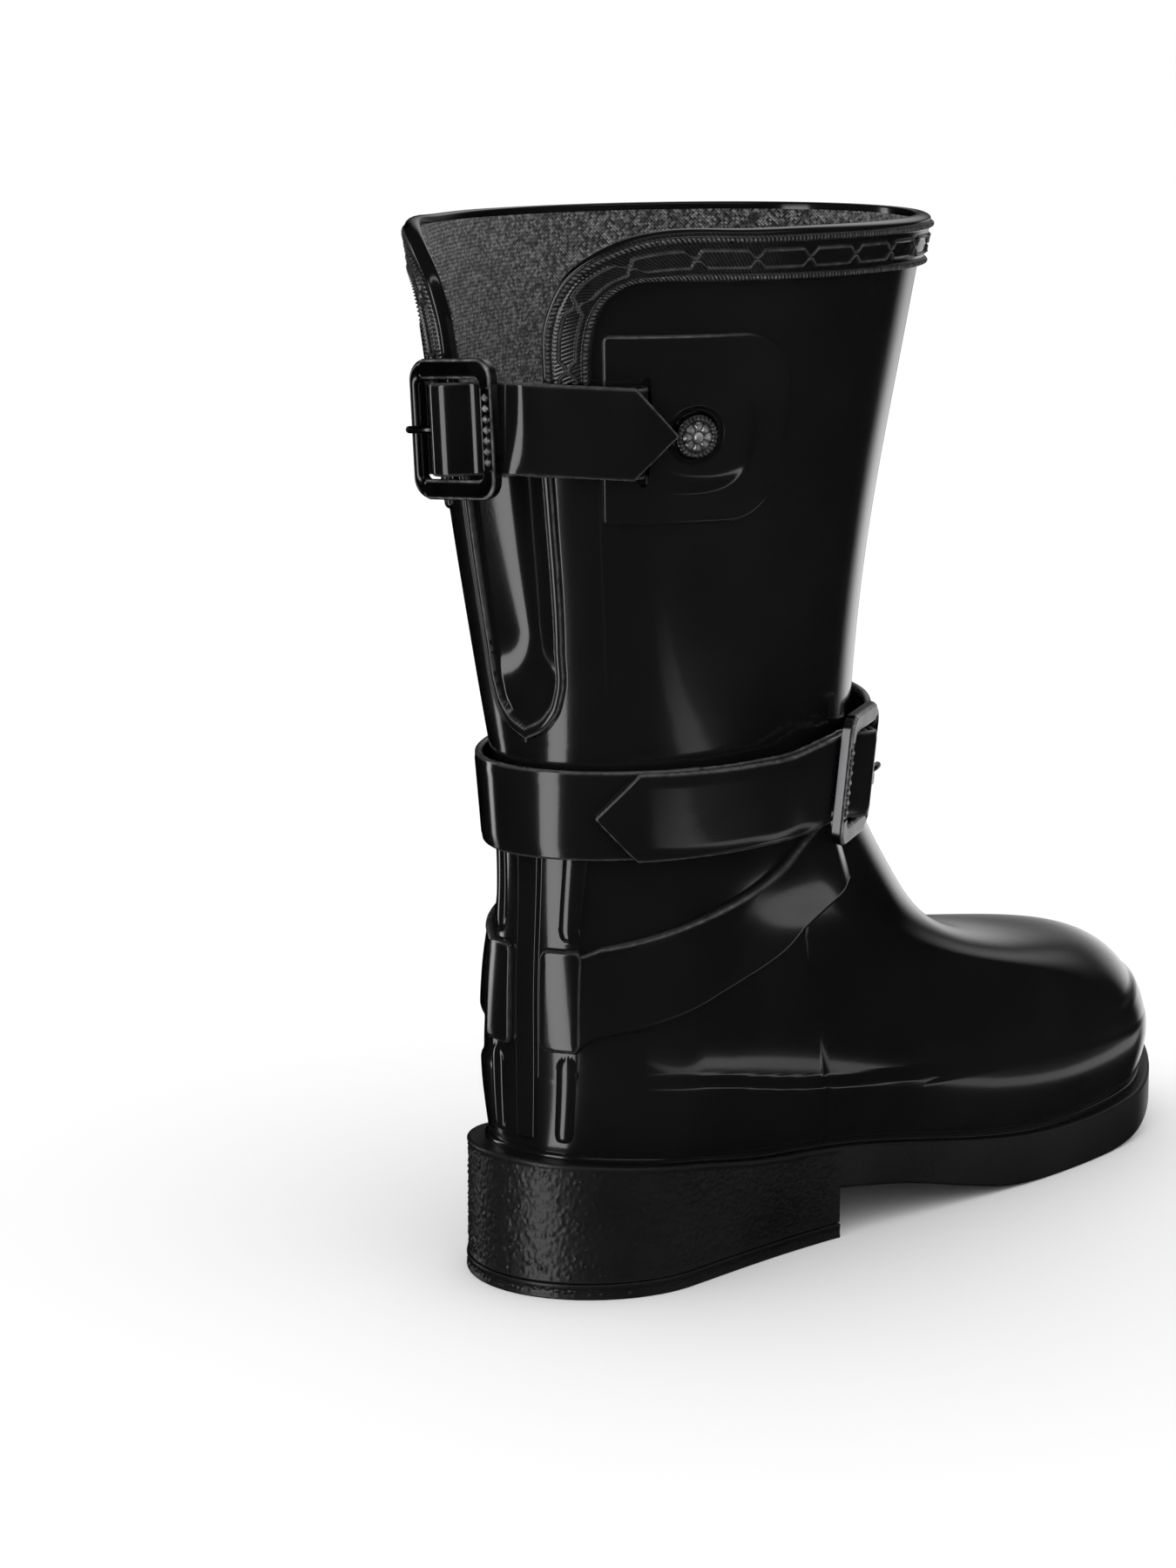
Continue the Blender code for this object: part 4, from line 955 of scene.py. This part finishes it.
def buckle_frame(word, seat, metal):
    """A bevelled frame with small lozenges on the bar nearest the free end, and a slim round far bar."""
    outline = rounded_rectangle(BUCKLE_HALF_U, BUCKLE_HALF_V, BUCKLE_CORNER)
    window = rounded_rectangle(BUCKLE_HALF_U - BUCKLE_BAR_U, BUCKLE_HALF_V - BUCKLE_BAR_V, 1.6)
    window[:, 0] = np.where(window[:, 0] < 0, window[:, 0] * 1.05, window[:, 0])
    steps = np.concatenate((np.linspace(0, 1, 23), (0.94, 0.72, 0.28, 0.06)))
    share = steps[None]
    places = outline[:, None] * (1 - share[..., None]) + window[:, None] * share[..., None]
    edge_distance = np.minimum(share, 1 - share)
    bevelled = 0.72 + 0.28 * np.clip(edge_distance / 0.14, 0, 1)**0.8
    slim = 0.25 + 0.75 * np.sqrt(np.clip(1 - (2 * share - 1)**2, 0, 1))
    on_slim = smooth_step(-places[..., 0], 9.2, 11.0)
    face = bevelled * (1 - on_slim) + slim * on_slim
    v_place = (places[..., 1] + 30) % 2.6 - 1.3
    across = places[..., 0] - BUCKLE_HALF_U + BUCKLE_BAR_U / 2
    lozenge = np.clip(1 - np.abs(v_place) / 1.05 - np.abs(across) / 1.35, 0, 1)
    lozenge = np.minimum(lozenge * 1.6, 0.6) * (np.abs(places[..., 1]) < 9.0) * (places[..., 0] > 9)
    heights = BUCKLE_LIFT + BUCKLE_THICK * (face - 0.12 * (places[..., 0] > 9.4) * (np.abs(across) < 1.5)
                                            * (np.abs(places[..., 1]) < 10)) + lozenge * 1.1
    under = steps.size - 4
    heights[:, under:] = BUCKLE_LIFT + np.array((0.35, 0.0, 0.0, 0.35)) * 0.9
    sections = seat.at(places[..., 0], places[..., 1], heights)
    # The bevel edges and the lozenges get the wear mask: worn, and lightened as a painted highlight.
    wear = 0.9 * ridge(edge_distance, 0.09, 0.1) * (1 - on_slim) + 0.9 * (lozenge > 0.2)
    wear[:, under:] = 0.0
    tube(f"{word}_buckle_frame", sections, metal, ring_closed=True, sharp=32, wear=wear)


def buckle_rods(word, seat, metal):
    reach = BUCKLE_HALF_V - BUCKLE_BAR_V + 0.4
    v = np.linspace(-reach, reach, 15)
    bar = round_rod(seat.at(CENTRE_BAR_U, v, CENTRE_BAR_LIFT), np.full(15, CENTRE_BAR_RADIUS))
    tube(f"{word}_buckle_bar", bar, metal)

    top = BUCKLE_LIFT + BUCKLE_THICK + 0.95
    stations = np.array(((-4.2, 2.4), (-4.6, 3.6), (-5.6, 5.4), (-7.2, 6.8), (-9.6, top - 0.1), (-12.0, top),
                         (-13.8, top - 0.15), (-14.5, top - 0.35)))
    smooth = Curve(lengths_along(stations, 0), stations, even=True)
    places = smooth(np.linspace(0, smooth.xs[-1], 40))
    share = np.linspace(0, 1, 40)
    radii = (1.12 - 0.22 * share) * rounded_end(share / 0.02 + 0.02)
    radii = radii * rounded_end((1 - share) / 0.075 + 0.003)
    prong = round_rod(seat.at(places[:, 0], 0.0, places[:, 1]), radii, 18)
    tube(f"{word}_buckle_prong", prong, metal, body=f"{word}_prong")


def on_skin(z, phi, out):
    """A strap path's place on the boot: its centre and the direction up the leg."""
    centre = skin_z(z, phi, out)[0]
    return centre, skin_z(z + 6, phi, out)[0] - skin_z(z - 6, phi, out)[0]


def line_between(a, b, shares, bow):
    """Strap places on the straight line between two others, bowed out from it a little."""
    places = []
    for share in shares:
        centre = a[0] * (1 - share) + b[0] * share
        up = a[1] * (1 - share) + b[1] * share
        out = unit(np.cross(b[0] - a[0], up))
        out = out if np.dot(out, centre - (60.0, 0.0, centre[2])) > 0 else -out
        places.append((centre + out * bow * 4 * share * (1 - share), up))
    return places


def strap(name, path, half, thick, material, tip=0.0, **options):
    """A strap along a path of (centre, up direction) pairs, with round edges and, if tip isn't 0, a point."""
    centres = np.array([p for p, _ in path])
    ups = unit(np.array([u for _, u in path]))
    along = lengths_along(centres, 0)
    smooth = Curve(along, np.concatenate((centres, ups), 1), even=True)
    length = along[-1]
    s = np.linspace(0, length, int(length / 0.6))
    if tip:
        s = np.concatenate((s[s < length - 1.2], np.linspace(length - 1.2, length, 9)))
    fine = smooth(s)
    centre, up = fine[:, :3], unit(fine[:, 3:])
    ahead = np.gradient(centre, s, axis=0)
    normal = unit(np.cross(ahead, up))
    if np.dot(normal[0], centre[0] - (60.0, 0.0, centre[0][2])) < 0:
        normal = -normal
    width = np.full(len(s), half)
    if tip:
        width = np.minimum(half, half * (length - s + 0.25) / tip)
    half_shares = (0.2, 0.45, 0.65, 0.8, 0.88, 0.92, 0.95, 0.975, 0.993, 1)
    shares = np.array((*(-share for share in half_shares[::-1]), 0, *half_shares))[:, None]
    edge = (1 - np.abs(shares)) * width[None]
    end = length - s if tip else np.full(len(s), 99.0)
    rounding = rounded_end(np.minimum(np.minimum(edge, end[None] + 0.02), s[None] + 0.02) / 0.75)
    from_edge = np.minimum(edge, np.maximum(end[None], 0))
    bevel = 0.18 * smooth_step(from_edge, 1.9, 1.2)
    lift = (thick / 2) * (0.06 + 0.94 * rounding)
    middle = centre[None] + up[None] * (shares * width[None])[..., None]
    front = middle + normal[None] * (lift - bevel * rounding)[..., None]
    back = middle - normal[None] * lift[..., None]
    # The strap's edges get the wear mask: worn, and lightened as a painted highlight.
    return slab(name, front, back, material, wear=0.55 * smooth_step(from_edge, 0.75, 0.3), **options)


def punch(piece, seat):
    """Cuts the round hole that the prong goes through."""
    centre, depth = seat.at(PRONG_HOLE_U, 0, PRONG_HOLE_LIFT), 4.0
    direction = unit(seat.u * -0.6 + seat.n)
    path = [centre - direction * depth, centre, centre + direction * depth]
    points, faces, _ = tube_mesh(round_rod(path, [PRONG_HOLE_RADIUS] * 3, 28))
    cutter = link("cutter", closed_mesh("cutter", points, faces))
    cut = piece.modifiers.new("hole", "BOOLEAN")
    cut.operation, cut.object, cut.solver = "DIFFERENCE", cutter, "EXACT"
    bpy.context.view_layer.update()
    depsgraph = bpy.context.evaluated_depsgraph_get()
    finished = bpy.data.meshes.new_from_object(piece.evaluated_get(depsgraph), depsgraph=depsgraph)
    piece.modifiers.clear()
    piece.data = finished
    bpy.data.objects.remove(cutter)
    finished.set_sharp_from_angle(angle=math.radians(50))


def chape(word, path, seat, gloss):
    """The short strap that holds a buckle: from its far end along path, under the buckle, round its bar."""
    radius = CENTRE_BAR_RADIUS + GAP + CHAPE_THICK / 2
    loop = [(CENTRE_BAR_U + radius * math.cos(turn), CENTRE_BAR_LIFT + radius * math.sin(turn))
            for turn in np.radians(range(-60, -301, -30))]
    path = path + seat.strap_places((*CHAPE_UNDER_BUCKLE, *loop))
    strap(f"{word}_chape", path, STRAP_HALF - 0.2, CHAPE_THICK, gloss)


def bend_free_end(piece):
    """Bakes a strap's placement into its mesh; the free end is not bent."""
    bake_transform(piece)


def top_strap(gloss, metal):
    seat = Seat(TOP_BUCKLE_PHI, TOP_STRAP_Z - 0.5, GAP, (0, -1, 0), turn=7.0, tilt=7.0, lean=4.0)
    buckle_frame("top", seat, metal)
    buckle_rods("top", seat, metal)
    path = [on_skin(TOP_STRAP_Z, phi, out)
            for phi, out in ((41.3, 0.2), (40.9, 2.6), (38.5, 3.9), (35.0, 4.2), (30.0, 3.9))]
    path += seat.strap_places((*STRAP_WEAVE[:-2], (12.0, 2.1), (15.4, 2.7)))
    near, far = on_skin(TOP_STRAP_Z + 1.4, -12.4, 4.7), on_skin(TOP_STRAP_Z + 0.6, -42, 6.2)
    path += [near] + line_between(near, far, (0.06, 0.25, 0.5, 0.75), 0.35)
    path += [far, on_skin(TOP_STRAP_Z + 0.4, -47.5, 6.6)]
    piece = strap("top_strap", path, STRAP_HALF, STRAP_THICK, gloss, tip=10.6, body=None,
                  replaced=["top_strap", "top_strap_tail"])
    punch(piece, seat)
    bend_free_end(piece)
    from_slot = [on_skin(TOP_STRAP_Z, phi, out) for phi, out in
                 ((-41.2, 0.2), (-40.9, 1.6), (-38.5, 2.5), (-34, 2.2), (-28, 1.5), (-20, 1.1), (-12, 1.1))]
    chape("top", from_slot, seat, gloss)


def ankle_rise(phi):
    return ((1 - math.cos(math.radians(phi))) / 2)**2


def ankle_place(phi, out=0.0):
    return on_skin(ANKLE_STRAP_Z + ANKLE_STRAP_RISE * ankle_rise(phi), phi, 3.6 + 2.0 * ankle_rise(phi) + out)


def ankle_strap(gloss, metal):
    seat_z = ANKLE_STRAP_Z + ANKLE_STRAP_RISE * ankle_rise(ANKLE_BUCKLE_PHI)
    seat = Seat(ANKLE_BUCKLE_PHI, seat_z, ANKLE_SEAT_LIFT, (-1, 0, 0), turn=10.0)
    buckle_frame("ankle", seat, metal)
    buckle_rods("ankle", seat, metal)
    start = -58.0
    path = [ankle_place(phi) for phi in np.linspace(start, 227, 38)] + seat.strap_places(STRAP_WEAVE[:-2])
    punch(strap("ankle_strap", path, STRAP_HALF, STRAP_THICK, gloss), seat)
    tail = seat.strap_places(STRAP_WEAVE[-3:])
    tail += [ankle_place(phi, STRAP_THICK + GAP + 0.15) for phi in (-84, -76, -68, -60, -52, -45, -36, -27)]
    end = strap("ankle_strap_tail", tail, STRAP_HALF, STRAP_THICK, gloss, tip=11.0, body=None)
    bend_free_end(end)
    chape("ankle", [ankle_place(phi, -0.2) for phi in (start - 0.2, -68, -78, -88)], seat, gloss)


# ---------------------------------------------------------------- sole and insole

def sole_half(x, side, margin, back, front):
    end = rounded_end((x - back) / SOLE_BACK_RADIUS) * rounded_end((front - x) / SOLE_FRONT_RADIUS)
    return (plan_halves[side](x) + margin) * end


def end_stations(start, radius, count):
    """Places along the boot that divide a round end evenly."""
    return start + radius * (1 - np.cos(np.linspace(0, math.pi / 2, count)))


def sole_outline(xs, margin, back, front):
    """The outer side from back to front, then the inner side from front to back."""
    outer = np.stack((xs, -sole_half(xs, OUTER, margin, back, front)), -1)
    inner = np.stack((xs, sole_half(xs, INNER, margin, back, front)), -1)
    return np.concatenate((outer, inner[::-1]))


def outward(outline):
    """Directions out of an outline that runs along the outer side first."""
    ahead = np.roll(outline, -1, 0) - np.roll(outline, 1, 0)
    ahead = np.where(np.linalg.norm(ahead, axis=1, keepdims=True) < 1e-9, (0.0, 1.0), ahead)
    return unit(np.stack((ahead[:, 1], -ahead[:, 0]), -1))


def pebbles(around, up):
    """Height from 0 to 1 of a hammered grain: rounded cells of uneven size with narrow grooves between."""
    size = 1.15
    found = np.empty(around.shape)
    for index in np.ndindex(around.shape):
        near = noise.voronoi(Vector((around[index] / size, up[index] / (size * 0.8), 0.0)))[0]
        found[index] = near[1] - near[0]
    return smooth_step(found, 0.0, 0.75)


def block(name, xs, margin, back, front, low, high, edge, material, grain=0.0, side_rows=60, tread=None):
    """A layer of the sole: its side wall in rows, and its top and underside spanned from side to side."""
    outline = sole_outline(xs, margin, back, front)
    away = outward(outline)
    count = len(xs)
    x = outline[:, 0]
    bottom, top = low(x), high(x)
    corner = [(edge * (1 - math.sin(turn)), edge * (1 - math.cos(turn)))
              for turn in np.radians(np.linspace(0, 90, 5))]
    sides = np.linspace(0, 1, side_rows)[1:-1]
    insets = [inset for inset, _ in corner] + [0.0] * len(sides) + [inset for _, inset in corner]
    zs = [bottom + rise for _, rise in corner]
    zs += [bottom + edge + (top - bottom - 2 * edge) * share for share in sides]
    zs += [top - drop for drop, _ in corner]
    insets, zs = np.array(insets)[:, None], np.array(zs)
    insets = np.broadcast_to(insets, zs.shape)
    if grain:
        where = smooth_step(zs - bottom, 0.4, 1.6) * smooth_step(top - zs, 0.6, 1.8)
        where = where * smooth_step(x, HEEL_BREAST + 2, HEEL_BREAST - 3)
        around = np.broadcast_to(lengths_along(outline, 0), zs.shape)
        insets = insets + grain * where * (1 - pebbles(around, zs))
    flat = outline[None] - away[None] * insets[..., None]
    wall_points = np.concatenate((flat, zs[..., None]), -1)

    across = fine_ends(46, 0.7)[None, :, None]
    starts, ends = wall_points[:, :count, None], wall_points[:, count:][:, ::-1, None]
    under, over = (starts[row] * (1 - across) + ends[row] * across for row in (0, -1))
    if tread is not None:
        under[..., 2] += tread(under, across[..., 0])
    points = np.concatenate([grid.reshape(-1, 3) for grid in (wall_points, under[:, 1:-1], over[:, 1:-1])])
    rows, size = wall_points.shape[:2]
    faces = [grid_quads(rows, size, columns_closed=True)[0]]
    columns = across.shape[1]
    between = np.arange(count * (columns - 2)).reshape(count, columns - 2)
    for row, offset, order in ((0, rows * size, -1), (rows - 1, rows * size + between.size, 1)):
        index = np.empty((count, columns), int)
        index[:, 0] = row * size + np.arange(count)
        index[:, -1] = row * size + size - 1 - np.arange(count)
        index[:, 1:-1] = offset + between
        quads = np.stack((index[:-1, :-1], index[1:, :-1], index[1:, 1:], index[:-1, 1:]), -1).reshape(-1, 4)
        faces.append(quads[:, ::order])
    piece = add_piece(name, points, np.concatenate(faces), points[:, :2], material, sharp=40)
    turn_faces_out(piece.data, weld=2e-6)
    return piece


def bars_tread(pitch, depth, border):
    """Slanting bars in an underside: how far each place is raised, between the sole's plain borders."""
    def raised(points, across):
        x, y = points[..., 0], points[..., 1]
        slant = (x + np.abs(y) * 0.35) % pitch / pitch
        groove = smooth_step(slant, 0.52, 0.62) * smooth_step(slant, 1.0, 0.9)
        width = np.ptp(y, axis=1)[:, None]
        inside = smooth_step(np.minimum(across, 1 - across) * width, border - 1, border)
        return depth * groove * inside * (width > 4 * border)
    return raised


def sole_pieces(sole_material, foam):
    grain = 0.42
    heel_round = end_stations(SOLE_BACK, SOLE_BACK_RADIUS, 110)
    toe_round = SOLE_FRONT - end_stations(0.0, SOLE_FRONT_RADIUS, 70)[::-1]
    heel_side = np.arange(SOLE_BACK_RADIUS, HEEL_BREAST, 0.5)[1:]
    fore_side = np.arange(HEEL_BREAST + 1.5, SOLE_FRONT - SOLE_FRONT_RADIUS, 1.5)
    breast = (HEEL_BREAST - 0.02, HEEL_BREAST + 0.02)
    xs = np.concatenate((heel_round, heel_side, breast, fore_side, toe_round))

    def bottom(x):
        heel = smooth_step(x, HEEL_BREAST + 0.01, HEEL_BREAST - 0.01)
        return np.where(heel > 0.5, LIFT_HEIGHT, np.maximum(sole_bottom(x), 0.0))

    block("outsole", xs, SOLE_MARGIN, SOLE_BACK, SOLE_FRONT, bottom, sole_top, 0.8, sole_material,
          grain=grain, side_rows=62, tread=bars_tread(9.0, 1.4, 5.0))
    lift_xs = np.concatenate((end_stations(SOLE_BACK - LIFT_LIP, SOLE_BACK_RADIUS, 110),
                              np.arange(SOLE_BACK_RADIUS, HEEL_BREAST, 0.6)[1:], (HEEL_BREAST,)))
    block("heel_top_lift", lift_xs, SOLE_MARGIN + LIFT_LIP, SOLE_BACK - LIFT_LIP, SOLE_FRONT,
          lambda x: np.zeros(x.shape), lambda x: np.full(x.shape, LIFT_HEIGHT), 0.4, sole_material,
          grain=grain, side_rows=14, tread=bars_tread(7.0, 1.2, 4.0))

    bed_xs = np.concatenate((end_stations(BED_BACK, SOLE_BACK_RADIUS, 40), np.arange(50.0, 208.0, 2.0),
                             BED_FRONT - end_stations(0.0, SOLE_FRONT_RADIUS, 40)[::-1]))
    bed = block("footbed", bed_xs, -6.0, BED_BACK, BED_FRONT, lambda x: sole_top(x) + BED_LIFT,
                lambda x: sole_top(x) + (BED_LIFT + BED_THICK), 1.6, foam, side_rows=8)


# ---------------------------------------------------------------- studio

def softbox(name, azimuth, low, high, distance, width, radiance, soft=0.3):
    """A rectangular light round the boot, as bright as its radiance in its middle and fading at its edges."""
    light = bpy.data.lights.new(name, "AREA")
    light.shape = "RECTANGLE"
    light.size, light.size_y = width, high - low
    light.energy = radiance * math.pi * width * (high - low)
    light.use_nodes = True
    nodes = Nodes(light.node_tree)
    place = nodes.node("ShaderNodeNewGeometry").outputs["Parametric"]
    parts = nodes.node("ShaderNodeSeparateXYZ", {0: place})
    glow = 1.0
    for axis in ("X", "Y"):
        from_middle = nodes.maths("ABSOLUTE", nodes.maths("SUBTRACT", parts.outputs[axis], 0.5))
        inputs = {"Value": from_middle, "From Min": 0.5, "From Max": 0.5 - soft}
        fade = nodes.node("ShaderNodeMapRange", inputs, interpolation_type="SMOOTHSTEP")
        glow = nodes.maths("MULTIPLY", fade.outputs["Result"], glow)
    nodes.put(light.node_tree.nodes["Emission"], "Strength", glow)
    lamp = link(name, light)
    turn = math.radians(azimuth)
    lamp.location = (distance * math.cos(turn), distance * math.sin(turn), (low + high) / 2)
    lamp.rotation_euler = Vector((-math.cos(turn), -math.sin(turn), 0)).to_track_quat("-Z", "Y").to_euler()
    lamp.visible_camera = False
    lamp.visible_diffuse = False
    return lamp


def studio():
    """White paper under an even sky, with softboxes that only the glossy surfaces mirror."""
    scene = bpy.context.scene
    scene.view_settings.view_transform = "Standard"
    mesh = bpy.data.meshes.new("studio_floor")
    reach = 30.0
    mesh.from_pydata([(-reach, -reach, 0), (reach, -reach, 0), (reach, reach, 0), (-reach, reach, 0)], [],
                     [(0, 1, 2, 3)])
    floor = link("studio_floor", mesh)
    shader = Shader("floor_paper")
    shader.set(Base_Color=grey(0.86, 1.0), Roughness=0.9)
    mesh.materials.append(shader.material)
    floor.visible_glossy = False
    floor.visible_shadow = False

    world = bpy.data.worlds.new("studio_air")
    scene.world = world
    world.use_nodes = True
    sky = world.node_tree.nodes["Background"]
    sky.inputs["Color"].default_value = (1, 1, 1, 1)
    sky.inputs["Strength"].default_value = 1.3
    world.cycles_visibility.glossy = False

    softbox("strip_back", 177, -1.0, 1.1, 1.4, 0.52, 2.8, soft=0.12)
    softbox("rim_front", 18, -0.9, 0.4, 1.6, 1.2, 0.9, soft=0.4)
    softbox("toe_glow", 20, 0.2, 2.1, 1.5, 2.4, 0.85, soft=0.5)
    softbox("strip_inner", 98, -0.6, 1.0, 1.5, 0.3, 2.0)
    bounce_azimuth = 300
    bounce = softbox("bounce", bounce_azimuth, -0.035, 0.035, 0.24, 0.9, 0.7)
    bounce.location.z = -0.02
    bounce.rotation_euler = (math.pi, 0, math.radians(bounce_azimuth - 90))
    edge_light = softbox("edge_light", 255, -0.1, 0.1, 0.85, 2.6, 1.6, soft=0.2)
    edge_light.location.z = 1.55
    towards = Vector((0, 0, 0.1)) - edge_light.location
    edge_light.rotation_euler = towards.to_track_quat("-Z", "Y").to_euler()


def camera():
    lens_data = bpy.data.cameras.new("camera")
    lens_data.lens = 94.52
    lens_data.clip_start = 0.01
    view = link("camera", lens_data)
    yaw, pitch = math.radians(40.0), math.radians(10.9)
    view.location = (-0.87863, -0.658, 0.3235)
    look = Vector((math.cos(yaw) * math.cos(pitch), math.sin(yaw) * math.cos(pitch), -math.sin(pitch)))
    view.rotation_euler = look.to_track_quat("-Z", "Y").to_euler()
    bpy.context.scene.camera = view


def main():
    camera()
    studio()
    gloss = gloss_rubber()
    textile = woven("textile_lining", 0.72, grey(0.004), grey(0.34), 0.0003)
    foam = woven("footbed_cloth", 1.1, grey(0.02), grey(0.10), 0.0002)
    metal = black_nickel()
    foot_pieces(gloss, textile)
    leg_pieces(gloss, textile)
    collar(gloss)
    gusset(gloss)
    back_stay(gloss)
    foxing(gloss)
    welt_bead(gloss)
    for word, side in SIDES:
        keeper(word, side, gloss)
        harness_band(word, side, gloss)
        patch(word, side, gloss)
        stud(word, side, metal)
    top_strap(gloss, metal)
    ankle_strap(gloss, metal)
    sole_pieces(sole_rubber(), foam)
    for node, material in (("insole_board", pressed_board()), ("shank", strip_steel())):
        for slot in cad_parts[node].material_slots:
            slot.material = material


main()
